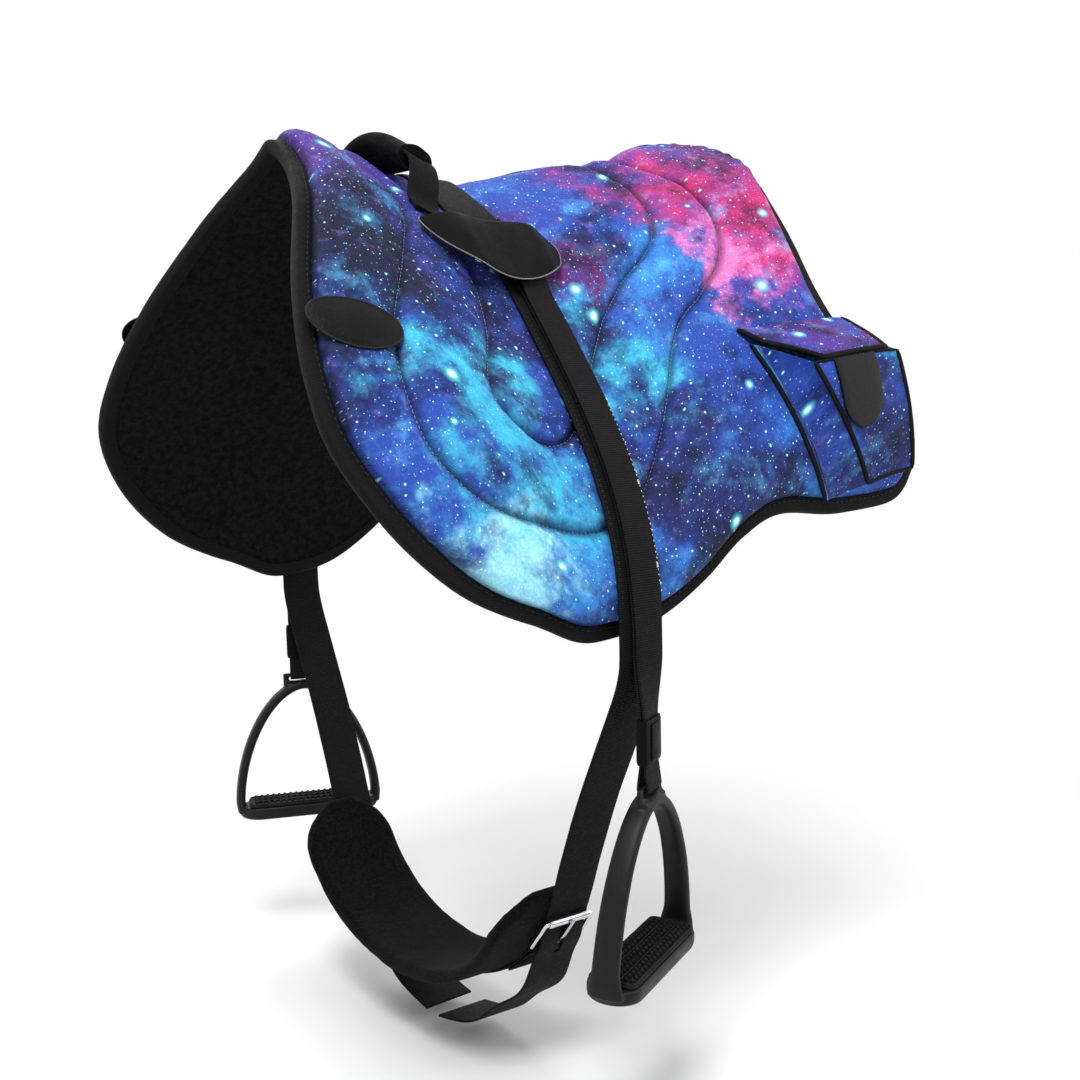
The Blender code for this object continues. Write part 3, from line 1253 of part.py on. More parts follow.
def make_flap(side, word, print_cloth, vinyl, webbing):
    """Lid flap from its hinge on the pad out over the mouth, and the tab that closes it."""
    lid_h = BAG_RIM_DEPTH + STRAP_SEAT + FLAP_THICK / 2
    hinge_h = STRAP_SEAT + FLAP_THICK / 2
    length = FLAP_REAR_X - FLAP_FRONT_X
    edge_s = BAG_RIM_S - FLAP_LIP
    corner_s = FLAP_HINGE_S + 2 * FLAP_CORNER
    rings = []
    for share, edge_share in ((0, 0), (0.14, 0.5), (0.28, 1), (0.5, 1), (0.75, 1), (1, 1)):
        x = FLAP_FRONT_X + length * share
        edge_x = x + FLAP_CORNER * (1 - share) - FLAP_CORNER * share
        reach = corner_s + (edge_s - corner_s) * edge_share
        height = FLAP_CORNER + (lid_h - FLAP_CORNER) * edge_share
        path = [np.array([FLAP_HINGE_S, hinge_h]), np.array([reach, height])]
        ring = []
        for (s, h), step, across in zip(path, side_steps(path), (x, edge_x)):
            ring.append(((across, s - step[0] * FLAP_THICK / 2, h - step[1] * FLAP_THICK / 2),
                         (across, s + step[0] * FLAP_THICK / 2, h + step[1] * FLAP_THICK / 2)))
        rings.append([bag_point(side, *p) for p in (ring[0][0], ring[1][0], ring[1][1], ring[0][1])])
    points, faces = loft(rings)
    hinge = bag_point(side, FLAP_FRONT_X + length / 2, FLAP_HINGE_S, hinge_h)
    make_object("bag_flap_" + word, points, faces, print_cloth, origin=hinge)
    tab_x = BAG_TAB_X
    tab_top = edge_s + FLAP_THICK + CLEARANCE * 2

    def above_panel(s, extra):
        return panel_depth(s) + extra

    def on_bag(x, s, h):
        return bag_point(side, x, abs(s), h)

    run = [(tab_top, lid_h)]
    clear = FASTENER_THICK + STRAP_SEAT * 2 + TAB_THICK / 2
    below_lid = np.linspace(tab_top + TAB_LENGTH * 0.2, tab_top + TAB_LENGTH, 6)
    run += [(s, above_panel(s, clear)) for s in below_lid]
    run = [np.array(p) for p in run]
    widths = rounded_halves(run, TAB_WIDTH / 2, False, True)
    face_strap("bag_tab_" + word, run, TAB_WIDTH, TAB_THICK, tab_x, side, vinyl,
               half_widths=widths, put=on_bag, origin=hinge)
    first = tab_top + TAB_LENGTH * 0.35
    hook = []
    for s in np.linspace(first, first + FASTENER_LENGTH, 3):
        hook.append(np.array([s, above_panel(s, CLEARANCE * 2 + FASTENER_THICK / 2)]))
    face_strap("bag_fastener_" + word, hook, FASTENER_WIDTH, FASTENER_THICK, tab_x, side, webbing,
               put=on_bag)


def main():
    """Clear the file and build every piece."""
    for thing in list(bpy.data.objects):
        bpy.data.objects.remove(thing, do_unlink=True)
    print_cloth = material("printed_cloth", (0.035, 0.10, 0.42), 0.75)
    foam = material("foam", (0.75, 0.74, 0.68), 0.9)
    black_cloth = material("black_cloth", (0.012, 0.012, 0.014), 0.9)
    webbing = material("webbing", (0.010, 0.010, 0.011), 0.7)
    felt = material("girth_felt", (0.012, 0.012, 0.014), 0.95)
    vinyl = material("vinyl", (0.012, 0.012, 0.012), 0.25)
    plastic = material("plastic", (0.014, 0.014, 0.015), 0.45)
    rubber = material("rubber", (0.016, 0.016, 0.017), 0.7)
    steel = material("steel", (0.80, 0.80, 0.80), 0.15, 1.0)
    make_pad(print_cloth, foam, black_cloth, webbing)
    make_back_strap(webbing)
    make_handle(webbing, black_cloth)
    make_girth(felt, webbing)
    for side, word in ((-1, "left"), (1, "right")):
        make_ring(side, word, steel)
        make_ring_cover(side, word, vinyl)
        make_billet(side, word, webbing)
        make_upper_strap(side, word, webbing)
        make_lower_strap(side, word, webbing, vinyl)
        make_stirrup(side, word, plastic, rubber)
        make_buckle(side, word, steel)
        make_patch(side, word, vinyl)
        make_bag(side, word, print_cloth, webbing, vinyl)


main()
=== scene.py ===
# %% [markdown]
# # A bareback pad, from its measured solids to cloth, webbing and steel
#
# A bareback pad is a soft saddle: a quilted cushion bent over the horse's back, held by a girth under the
# belly. The solids of the part give every place and size. This lesson dresses them: each soft piece is made
# again as cloth, and each hard piece keeps its solid and gets a better finish.

# %% Load the solids
import math

import bmesh
import bpy
import numpy as np
from mathutils import Matrix, Vector, kdtree, noise


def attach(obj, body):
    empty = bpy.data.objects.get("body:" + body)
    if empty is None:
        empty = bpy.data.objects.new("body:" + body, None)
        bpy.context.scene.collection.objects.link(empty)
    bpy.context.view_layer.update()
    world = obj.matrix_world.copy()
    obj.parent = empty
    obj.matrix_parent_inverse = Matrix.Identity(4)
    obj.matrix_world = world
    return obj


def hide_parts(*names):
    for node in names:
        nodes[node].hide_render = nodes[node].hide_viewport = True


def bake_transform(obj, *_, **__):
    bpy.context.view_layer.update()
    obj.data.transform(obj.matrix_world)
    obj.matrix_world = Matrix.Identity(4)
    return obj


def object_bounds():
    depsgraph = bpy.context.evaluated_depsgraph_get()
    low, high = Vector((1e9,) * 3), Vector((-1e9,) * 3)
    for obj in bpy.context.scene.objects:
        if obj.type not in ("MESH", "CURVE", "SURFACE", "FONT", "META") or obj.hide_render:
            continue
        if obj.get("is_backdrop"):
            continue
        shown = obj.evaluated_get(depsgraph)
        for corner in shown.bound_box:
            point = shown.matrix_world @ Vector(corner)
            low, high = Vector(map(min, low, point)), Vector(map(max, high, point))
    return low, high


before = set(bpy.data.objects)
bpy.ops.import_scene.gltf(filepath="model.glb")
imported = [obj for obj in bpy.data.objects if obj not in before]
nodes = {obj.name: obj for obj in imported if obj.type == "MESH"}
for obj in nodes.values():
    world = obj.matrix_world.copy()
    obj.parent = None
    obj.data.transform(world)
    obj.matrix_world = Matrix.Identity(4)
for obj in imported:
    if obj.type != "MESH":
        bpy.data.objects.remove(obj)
solid_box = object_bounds()
SIDES = (("left", -1), ("right", 1))

# %% [markdown]
# The pad has no flat side to measure from: it follows the horse. So every soft piece is drawn in three
# easy coordinates: x along the spine, s round the body from the spine (left is negative), and h, the height
# above the pad's face. One table turns them into points in space. It is the table that the solids were
# made with, so cloth drawn in these coordinates lies on them with no fitting.

# %% The shape of the horse under the pad
PAD_LENGTH, PAD_DROP, HALF_GIRTH = 0.60, 0.50, 1.04
PAD_THICK, SPINE_RISE = 0.0215, 0.072
BODY_SHARES = (0, 0.019, 0.058, 0.096, 0.12, 0.192, 0.279, 0.346, 0.413, 0.457, 0.49, 0.51, 0.535,
               0.59, 0.67, 0.731, 0.769, 0.808, 0.846, 0.885, 0.933, 1)
BODY_SLOPES = (0, 27, 31.5, 39, 47, 51.5, 55, 63.5, 77, 88.5, 91, 108, 116, 116, 111.5, 112, 124, 140,
               154, 166, 176, 182)
SPINE_PLACES = (-0.5, -0.333, -0.25, -0.167, -0.092, -0.067, -0.033, 0, 0.033, 0.067, 0.10,
                0.167, 0.333, 0.5, 0.633, 0.75, 1)
SPINE_HEIGHTS = (0.63, 0.76, 0.80, 0.66, 0.405, 0.352, 0.311, 0.2986, 0.301, 0.333, 0.39, 0.53,
                 0.80, 1, 1, 0.86, 0.56)


def smooth_through(knots, values):
    """A smooth function through the given values that never swings past them."""
    x, y = np.asarray(knots, float), np.asarray(values, float)
    width = np.diff(x)
    rate = np.diff(y) / width
    slope = np.zeros(len(x))
    slope[0], slope[-1] = rate[0], rate[-1]
    for i in range(1, len(x) - 1):
        if rate[i - 1] * rate[i] > 0:
            before, after = 2 * width[i] + width[i - 1], width[i] + 2 * width[i - 1]
            slope[i] = (before + after) / (before / rate[i - 1] + after / rate[i])

    def value_at(v):
        v = np.clip(v, x[0], x[-1])
        i = np.clip(np.searchsorted(x, v) - 1, 0, len(width) - 1)
        t = (v - x[i]) / width[i]
        return ((1 + 2 * t) * (1 - t) ** 2 * y[i] + t * (1 - t) ** 2 * width[i] * slope[i]
                + t * t * (3 - 2 * t) * y[i + 1] + t * t * (t - 1) * width[i] * slope[i + 1])

    return value_at


def ease(t):
    """Go smoothly from 0 to 1 while t goes from 0 to 1."""
    t = np.clip(t, 0, 1)
    return t * t * (3 - 2 * t)


class HorseSide:
    """Turns x, s and h into points in space, and back."""

    def __init__(self, columns=161, rows=521):
        self.x = np.linspace(-PAD_LENGTH, PAD_LENGTH, columns)
        self.s = np.linspace(0, HALF_GIRTH, rows)
        spine = smooth_through([PAD_LENGTH * v for v in SPINE_PLACES], [SPINE_RISE * v for v in SPINE_HEIGHTS])
        slope = smooth_through([HALF_GIRTH * v for v in BODY_SHARES], BODY_SLOPES)(self.s)
        lift = PAD_THICK - spine(np.array([0.0]))[0]
        step = self.s[1] - self.s[0]
        table = []
        for x in self.x:
            to_withers = min(max(-3 * x / PAD_LENGTH, 0), 1)
            to_loins = min(max(1.5 * x / PAD_LENGTH, 0), 1.2)
            near_top = np.exp(-(self.s / (0.32 * PAD_DROP)) ** 2)
            below_top = np.exp(-((self.s / PAD_DROP - 0.1) / 0.4) ** 2)
            tilt = np.radians(np.maximum(slope + 4 * to_withers * near_top - 12 * to_loins * below_top, 0))
            side = self.add_up(np.cos(tilt), step)
            height = spine(np.array([x]))[0] + lift - self.add_up(np.sin(tilt), step)
            table.append(np.stack([np.full(rows, x), side, height], axis=1))
        self.points = np.array(table)
        along = np.gradient(self.points, self.x, axis=0)
        self.down = np.gradient(self.points, self.s, axis=1)
        self.out = np.cross(along, self.down)
        self.out[:, 0, 1] = 0
        self.out /= np.linalg.norm(self.out, axis=2)[:, :, None]
        self.tree = kdtree.KDTree(columns * rows)
        for n, point in enumerate(self.points.reshape(-1, 3)):
            self.tree.insert(point, n)
        self.tree.balance()

    @staticmethod
    def add_up(rate, step):
        """Add up a rate along the section, by trapezes."""
        return np.concatenate([[0], np.cumsum((rate[1:] + rate[:-1]) / 2 * step)])

    def read(self, table, x, s):
        """Read a table between its grid lines."""
        i = np.clip((x - self.x[0]) / (self.x[1] - self.x[0]), 0, len(self.x) - 1.001)
        j = np.clip(s / (self.s[1] - self.s[0]), 0, len(self.s) - 1.001)
        i0, j0 = i.astype(int), j.astype(int)
        u, v = (i - i0)[:, None], (j - j0)[:, None]
        return ((1 - u) * (1 - v) * table[i0, j0] + u * (1 - v) * table[i0 + 1, j0]
                + (1 - u) * v * table[i0, j0 + 1] + u * v * table[i0 + 1, j0 + 1])

    def at(self, x, s, h):
        """Points in space."""
        x, s, h = (np.atleast_1d(v).astype(float) for v in np.broadcast_arrays(x, s, h))
        out = self.read(self.out, x, abs(s))
        out /= np.linalg.norm(out, axis=1)[:, None]
        point = self.read(self.points, x, abs(s)) + h[:, None] * out
        point[:, 1] *= np.where(s < 0, -1, 1)
        return point

    def lay(self, points):
        """The x, s and h of points in space."""
        found = []
        flat, down, out = self.points.reshape(-1, 3), self.down.reshape(-1, 3), self.out.reshape(-1, 3)
        for point in points:
            mirrored = np.array([point[0], abs(point[1]), point[2]])
            _, n, _ = self.tree.find(mirrored)
            away = mirrored - flat[n]
            s = self.s[n % len(self.s)] + away @ down[n]
            found.append((point[0], s if point[1] >= 0 else -s, away @ out[n]))
        return np.array(found)


HORSE = HorseSide()
STRAPS_FRONT_X, STRAPS_REAR_X = -0.042, 0.020


def on_straps(x, s, h):
    """Points on the straight line, from front to rear, that the straps lie flat on."""
    front, rear = HORSE.at(STRAPS_FRONT_X, s, h), HORSE.at(STRAPS_REAR_X, s, h)
    share = (np.atleast_1d(x) - STRAPS_FRONT_X) / (STRAPS_REAR_X - STRAPS_FRONT_X)
    return front + (rear - front) * share[:, None]


print("face at the ring:", HORSE.at(0.0, -0.118, 0.0).round(3))

# %% [markdown]
# Every new piece is a mesh that is built, shaded smooth, given a finish and hung on its body. The helpers
# here do that, and each piece also hides the solids that it stands for. Two of
# them store x, s and h on each corner under the name "lay", so that a weave or a print can follow the cloth
# round the horse. A print could be projected from outside instead, but on a flap this steep it would smear.

# %% Making pieces
def worked(mesh, *jobs):
    """Do some jobs on a mesh in its editable form."""
    work = bmesh.new()
    work.from_mesh(mesh)
    for job in jobs:
        job(work)
    work.to_mesh(mesh)
    work.free()
    return mesh


def weld(work):
    """Join the corners that share a place."""
    bmesh.ops.remove_doubles(work, verts=work.verts, dist=0.00002)


def face_out(work):
    """Turn every face outwards."""
    bmesh.ops.recalc_face_normals(work, faces=work.faces)


def drawn(name, points, faces):
    """A bare mesh from points and faces."""
    mesh = bpy.data.meshes.new(name)
    mesh.from_pydata([tuple(p) for p in points], [], [tuple(int(n) for n in f) for f in faces])
    return mesh


def set_down(name, data):
    """Put a mesh, a light or a camera in the scene."""
    thing = bpy.data.objects.new(name, data)
    bpy.context.collection.objects.link(thing)
    return thing


def build(name, points, faces, finish, body, sharp=40):
    """A piece from points and faces, shaded smooth and hung on a body of the frame."""
    mesh = worked(drawn(name, points, faces), weld, face_out)
    mesh.shade_smooth()
    mesh.set_sharp_from_angle(angle=math.radians(sharp))
    mesh.materials.append(finish)
    thing = set_down(name, mesh)
    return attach(thing, body) if body else thing


def dress(thing, stock, *solids):
    """Hide the solids that a piece stands for; the stock argument is not used."""
    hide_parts(*solids)
    return thing


def corners(thing):
    """The corners of a mesh as an array."""
    found = np.zeros(len(thing.data.vertices) * 3)
    thing.data.vertices.foreach_get("co", found)
    return found.reshape(-1, 3)


def store_lay(thing, values=None):
    """Store x, s and h on the corners of a piece."""
    values = HORSE.lay(corners(thing)) if values is None else values
    layer = thing.data.attributes.new("lay", "FLOAT_VECTOR", "POINT")
    layer.data.foreach_set("vector", np.asarray(values, np.float32).ravel())
    return thing


def lay_by_place(thing, places, values):
    """Store on each corner the values that were drawn for its place."""
    tree = kdtree.KDTree(len(places))
    for n, place in enumerate(places):
        tree.insert(place, n)
    tree.balance()
    return store_lay(thing, np.array([values[tree.find(p)[1]] for p in corners(thing)]))


def rings_to_faces(count, rings, closed=False):
    """Faces that join rings of corners, each to the next, with or without caps."""
    faces = []
    for i in range(rings if closed else rings - 1):
        here, there = i * count, (i + 1) % rings * count
        for k in range(count):
            m = (k + 1) % count
            faces.append((here + k, here + m, there + m, there + k))
    if not closed:
        faces += [tuple(range(count)), tuple(range((rings - 1) * count, rings * count))]
    return faces


def circle(count):
    """Even angles round a circle."""
    return [2 * math.pi * k / count for k in range(count)]


def run_lengths(path):
    """How far along a path each of its places lies."""
    return np.concatenate([[0], np.cumsum(np.linalg.norm(np.diff(path, axis=0), axis=1))])


def spot(place, across, along, height):
    """One point in space from a place function that takes lists."""
    return place(np.array([across]), np.array([along]), np.array([height]))[0]


def ripple(points, size, seed=0.0):
    """Soft random heights from -1 to 1 at points, for folds and dents of about the given size."""
    return np.array([noise.noise(Vector((p[0] / size + seed, p[1] / size - seed, p[2] / size)))
                     for p in points])


print("helpers ready")

# %% [markdown]
# A finish is a Principled shader with a few nodes in front. Weaves are waves that run along the stored
# "lay" values; grain and wear are noise. Pictures of cloth could be wrapped on instead, but they would need
# seams and would blur close up, while a pattern worked out in metres keeps its true scale at any distance.
# Numbers that are the same all over stay on the shader itself.

# %% Tools for finishes
def dye(red, green, blue):
    """A colour given as it looks on a screen, from 0 to 255."""
    return tuple(((v / 255 + 0.055) / 1.055) ** 2.4 if v > 10 else v / 255 / 12.92 for v in (red, green, blue))


def add_node(tree, kind, inputs=None, **settings):
    """Add a shader node; its inputs, by number or name, are values or other nodes' outputs."""
    made = tree.nodes.new("ShaderNode" + kind)
    for key, value in settings.items():
        setattr(made, key, value)
    for key, value in (inputs or {}).items():
        if isinstance(value, bpy.types.NodeSocket):
            tree.links.new(value, made.inputs[key])
        else:
            made.inputs[key].default_value = value
    return made


class Finish:
    """A material that is put together node by node."""

    def __init__(self, name, colour, rough, metal=0.0, sheen=0.0, coat=0.0, gloss=0.5):
        self.material = bpy.data.materials.new(name)
        self.material.use_nodes = True
        self.tree = self.material.node_tree
        self.shader = self.tree.nodes["Principled BSDF"]
        self.set("Base Color", (*colour, 1))
        self.set("Roughness", rough)
        self.set("Metallic", metal)
        self.set("Specular IOR Level", gloss)
        self.set("Sheen Weight", sheen)
        self.set("Sheen Roughness", 0.4)
        self.set("Coat Weight", coat)
        self.set("Coat Roughness", 0.12)

    def set(self, socket, value):
        """Give the shader a plain value, or wire a node's output to it."""
        if isinstance(value, bpy.types.NodeSocket):
            self.tree.links.new(value, self.shader.inputs[socket])
        else:
            self.shader.inputs[socket].default_value = value

    def node(self, kind, inputs=None, **settings):
        """Add a node to this material."""
        return add_node(self.tree, kind, inputs, **settings)

    def lay(self):
        """The stored x, s and h."""
        return self.node("Attribute", attribute_name="lay").outputs["Vector"]

    def place(self):
        """The place on the solid, in metres."""
        return self.node("TexCoord").outputs["Object"]

    def sums(self, operation, first, second=0.0, third=0.0):
        """One step of arithmetic."""
        return self.node("Math", {0: first, 1: second, 2: third}, operation=operation).outputs[0]

    def cloud(self, where, scale, detail=4.0, rough=0.55):
        """Noise from 0 to 1."""
        inputs = {"Vector": where, "Scale": scale, "Detail": detail, "Roughness": rough}
        return self.node("TexNoise", inputs).outputs["Fac"]

    def spread(self, value, low, high, start=0.0, end=1.0):
        """Stretch a value from one range to another, smoothly."""
        inputs = {"Value": value, "From Min": low, "From Max": high, "To Min": start, "To Max": end}
        return self.node("MapRange", inputs, interpolation_type="SMOOTHSTEP").outputs["Result"]

    def blend(self, share, first, second, way="MIX"):
        """Mix two colours."""
        first, second = (v if isinstance(v, bpy.types.NodeSocket) else (*v, 1) for v in (first, second))
        inputs = {0: share, 6: first, 7: second}
        return self.node("Mix", inputs, data_type="RGBA", blend_type=way).outputs[2]

    def bump(self, height, metres, strength=0.6, below=None):
        """Raise the surface by a height from 0 to 1, in metres."""
        inputs = {"Height": height, "Distance": metres, "Strength": strength}
        if below is not None:
            inputs["Normal"] = below
        return self.node("Bump", inputs).outputs["Normal"]

    def stripes(self, where, axis, pitch):
        """Even ribs across an axis, one every pitch metres."""
        part = self.node("SeparateXYZ", {0: where}).outputs[axis]
        turns = self.sums("MULTIPLY", part, 2 * math.pi / pitch)
        return self.sums("MULTIPLY_ADD", self.sums("SINE", turns), 0.5, 0.5)


print("finish tools ready")

# %% [markdown]
# The cover is a woven polyester with a printed night sky: soft clouds of navy, violet, blue, cyan and pink,
# and many small stars. A print like this is easy to make from noise. Broad patches of dye are mixed by
# their distance from a few places on the cloth, noise bends their borders, and Voronoi cells give the stars.
# Fine dark and light smoke over it keeps the print from looking like a smooth gradient.

# %% The printed cloth
NAVY, INDIGO, VIOLET = dye(8, 8, 30), dye(18, 20, 74), dye(74, 30, 128)
BLUE, AZURE, CYAN, ICE = dye(14, 62, 158), dye(22, 118, 204), dye(40, 182, 218), dye(150, 220, 240)
PLUM, MAGENTA, ROSE = dye(92, 16, 88), dye(190, 18, 100), dye(228, 110, 180)
DYES = (  # x, s, radius, colour
    (-0.16, 0.04, 0.12, VIOLET), (-0.20, 0.13, 0.13, NAVY), (-0.22, 0.28, 0.10, NAVY),
    (-0.19, 0.36, 0.10, BLUE), (-0.11, 0.29, 0.08, CYAN), (-0.13, 0.17, 0.09, NAVY),
    (-0.05, 0.25, 0.08, INDIGO), (-0.09, 0.40, 0.10, CYAN), (-0.13, 0.47, 0.09, ICE),
    (-0.01, 0.46, 0.08, AZURE), (0.05, 0.38, 0.10, INDIGO), (0.06, 0.46, 0.07, NAVY),
    (-0.03, 0.10, 0.11, VIOLET), (0.05, 0.16, 0.08, PLUM), (0.06, 0.26, 0.08, CYAN),
    (0.12, 0.07, 0.10, BLUE), (0.12, 0.20, 0.08, AZURE), (0.16, 0.03, 0.08, VIOLET),
    (0.15, 0.33, 0.10, BLUE), (0.14, 0.42, 0.08, INDIGO), (0.22, 0.40, 0.09, AZURE),
    (0.23, 0.10, 0.11, MAGENTA), (0.29, 0.20, 0.08, MAGENTA), (0.22, 0.21, 0.06, ROSE),
    (0.33, 0.06, 0.09, PLUM), (0.27, 0.31, 0.08, VIOLET), (0.31, 0.42, 0.09, BLUE))
SMOKE = (  # moved by, scale, detail, roughness, faint below, full above, share, colour, way of mixing
    ((5.3, 0.2, 1.9), 26.0, 9.0, 0.66, 0.52, 0.76, 0.6, dye(70, 170, 226), "SCREEN"),
    ((3.1, 1.7, 0.4), 17.0, 8.0, 0.66, 0.46, 0.66, 0.9, dye(52, 44, 110), "MULTIPLY"),
    ((7.7, 4.1, 2.2), 70.0, 8.0, 0.72, 0.54, 0.78, 0.42, dye(150, 120, 220), "SCREEN"))
STARS = (  # cell's width in metres, size in its cell, share of cells left empty, glow, tint
    (0.0042, 0.20, 0.62, 0.55, dye(120, 190, 240)), (0.0085, 0.15, 0.60, 0.9, dye(120, 214, 250)),
    (0.017, 0.12, 0.55, 1.0, dye(90, 220, 245)), (0.060, 0.17, 0.62, 0.9, dye(70, 214, 232)))


def shifted(made, where, x, y, z):
    """The same place, moved, so that one kind of noise gives another pattern."""
    return made.node("VectorMath", {0: where, 1: (x, y, z)}, operation="ADD").outputs[0]


def star_field(made, where, colour, pitch, size, share, glow, tint):
    """Scatter stars: one to a cell, most cells empty, each with a bright heart and a soft rim."""
    cells = made.node("TexVoronoi", {"Vector": where, "Scale": 1 / pitch, "Randomness": 1.0},
                      voronoi_dimensions="2D")
    luck = made.node("SeparateXYZ", {0: cells.outputs["Color"]}).outputs[0]
    wide = made.spread(luck, share, 1.0, size * 0.35, size)
    lit = made.sums("GREATER_THAN", luck, share)
    near = made.sums("DIVIDE", cells.outputs["Distance"], wide)
    halo = made.sums("MULTIPLY", made.spread(near, 1.0, 0.15, 0.0, glow), lit)
    heart = made.sums("MULTIPLY", made.spread(near, 0.55, 0.1, 0.0, glow), lit)
    return made.blend(heart, made.blend(halo, colour, tint), dye(226, 246, 255))


def patches_of_dye(made, lay, folded):
    """Broad patches of colour whose borders are bent by noise."""
    stirred = made.node("TexNoise", {"Vector": lay, "Scale": 11.0, "Detail": 6.0, "Roughness": 0.66})
    shift = made.node("VectorMath", {0: stirred.outputs["Color"], 1: (0.5, 0.5, 0.5)}, operation="SUBTRACT")
    far = made.node("VectorMath", {0: shift.outputs[0], 3: 0.34}, operation="SCALE").outputs[0]
    warped = made.node("VectorMath", {0: folded, 1: far}, operation="ADD").outputs[0]
    colour = made.blend(0.0, BLUE, BLUE)
    for x, s, radius, shade in DYES:
        away = made.node("VectorMath", {0: warped, 1: (x, s, 0.0)}, operation="DISTANCE").outputs["Value"]
        colour = made.blend(made.spread(away, radius, radius * 0.25, 0.0, 0.94), colour, shade)
    return colour


def smoke(made, lay, colour):
    """Layers of light and dark smoke over the dye, each with its own kind of noise."""
    for move, scale, detail, rough, low, high, share, shade, way in SMOKE:
        noise_here = made.cloud(shifted(made, lay, *move), scale, detail, rough)
        colour = made.blend(made.spread(noise_here, low, high, 0.0, share), colour, shade, way)
    return colour


def printed_cloth():
    """Printed woven cloth for the cover and the bags, with painted shade darkening it down in the quilting's
    valleys.
    """
    made = Finish("printed_cloth", dye(40, 90, 180), 0.7, gloss=0.25)
    lay = made.lay()
    x, s, height = made.node("SeparateXYZ", {0: lay}).outputs
    folded = made.node("CombineXYZ", {0: x, 1: made.sums("ABSOLUTE", s), 2: 0.0}).outputs[0]
    colour = smoke(made, lay, patches_of_dye(made, lay, folded))
    spots = shifted(made, folded, 0.37, 0.11, 0.0)
    for kind in STARS:
        colour = star_field(made, spots, colour, *kind)
    fade = made.cloud(lay, 420.0, 2.0, 0.5)
    colour = made.blend(made.spread(fade, 0.3, 0.7, 0.0, 0.22), colour, dye(24, 26, 60))
    colour = made.node("HueSaturation", {"Color": colour, "Saturation": 0.96, "Value": 1.34}).outputs[0]
    # Painted shade: the colour is multiplied darker where the cushion's surface dips into the quilting's
    # valleys.
    colour = made.blend(made.spread(height, -0.0012, -0.0075, 0.0, 0.6), colour, dye(30, 28, 70), "MULTIPLY")
    made.set("Base Color", colour)
    made.set("Roughness", made.spread(fade, 0.2, 0.8, 0.6, 0.8))
    slant = made.node("CombineXYZ", {0: made.sums("ADD", x, s), 1: 0.0, 2: 0.0}).outputs[0]
    threads = made.sums("MULTIPLY", made.stripes(lay, 1, 0.0009), 0.5)
    weave = made.sums("ADD", made.stripes(slant, 0, 0.0016), threads)
    slub = made.bump(made.cloud(lay, 60.0, 5.0, 0.6), 0.0014, 0.4)
    made.set("Normal", made.bump(weave, 0.00025, 0.6, slub))
    return made.material


PRINT = printed_cloth()
print("print mixed from", len(DYES), "patches of dye")

# %% [markdown]
# The rest of the cloth is black: polyester webbing woven in ribs across its length, fleece and felt of fine
# hair, and coated cloth with a leather-like grain under a thin gloss. A weave could be modelled thread by
# thread, but its ribs are under two millimetres wide, some two pixels here, so a bump in the shader shows
# them well enough. None of these finishes is a flat black: dust and worn fibres lighten the high spots, and
# that is what tells cloth from a shadow.

# %% Black webbing, fleece, felt, vinyl and thread
def webbing(name, pitch=0.0019, lift=0):
    """Ribbed black webbing, with its ribs across its run; lift makes it greyer."""
    made = Finish(name, dye(14, 14, 15), 0.75, gloss=0.12)
    lay = made.lay()
    ribs = made.stripes(lay, 1, pitch)
    warp = made.stripes(lay, 0, pitch * 0.75)
    dust = made.cloud(lay, 260.0, 5.0, 0.6)
    tint = made.blend(made.spread(ribs, 0.1, 0.95, 0.0, 0.8), dye(5 + lift, 5 + lift, 6 + lift),
                      dye(23 + lift, 23 + lift, 25 + lift))
    tint = made.blend(made.spread(dust, 0.58, 0.82, 0.0, 0.3), tint, dye(52, 52, 55))
    made.set("Base Color", tint)
    made.set("Roughness", made.spread(dust, 0.2, 0.8, 0.58, 0.78))
    weave = made.sums("MULTIPLY_ADD", warp, 0.35, ribs)
    made.set("Normal", made.bump(weave, 0.0004, 0.7, made.bump(dust, 0.0005, 0.3)))
    return made.material


def hairy(name, low, high, scale):
    """Fleece or felt: fine tangled hair."""
    made = Finish(name, low, 0.95, gloss=0.06, sheen=0.04)
    where = made.place()
    tufts = made.cloud(where, scale, 6.0, 0.7)
    hair = made.cloud(where, scale * 6, 3.0, 0.6)
    tint = made.blend(made.spread(tufts, 0.35, 0.7), low, high)
    made.set("Base Color", made.blend(made.spread(hair, 0.5, 0.8, 0.0, 0.3), tint, dye(48, 48, 51)))
    made.set("Roughness", made.spread(hair, 0.2, 0.8, 0.88, 1.0))
    made.set("Normal", made.bump(hair, 0.0008, 0.6, made.bump(tufts, 0.0022, 0.6)))
    return made.material


def vinyl(name, rough, coat, colour, gloss=0.06):
    """Coated cloth with a fine grain."""
    made = Finish(name, colour, rough, coat=coat, gloss=gloss)
    where = made.place()
    cells = made.node("TexVoronoi", {"Vector": where, "Scale": 900.0}, feature="DISTANCE_TO_EDGE")
    grain = made.spread(cells.outputs["Distance"], 0.0, 0.22)
    wear = made.cloud(where, 45.0, 5.0, 0.6)
    made.set("Base Color", made.blend(made.spread(wear, 0.5, 0.8, 0.0, 0.3), colour, dye(28, 28, 30)))
    made.set("Roughness", made.spread(wear, 0.3, 0.75, rough * 0.8, rough * 1.35))
    made.set("Normal", made.bump(grain, 0.00012, 0.45, made.bump(wear, 0.0015, 0.25)))
    return made.material


def thread(name, colour):
    """Twisted sewing thread."""
    made = Finish(name, colour, 0.6, gloss=0.3)
    twist = made.cloud(made.place(), 2600.0, 2.0, 0.5)
    made.set("Base Color", made.blend(made.spread(twist, 0.3, 0.7, 0.0, 0.35), colour,
                                      tuple(v * 0.45 for v in colour)))
    made.set("Normal", made.bump(twist, 0.0002, 0.6))
    return made.material


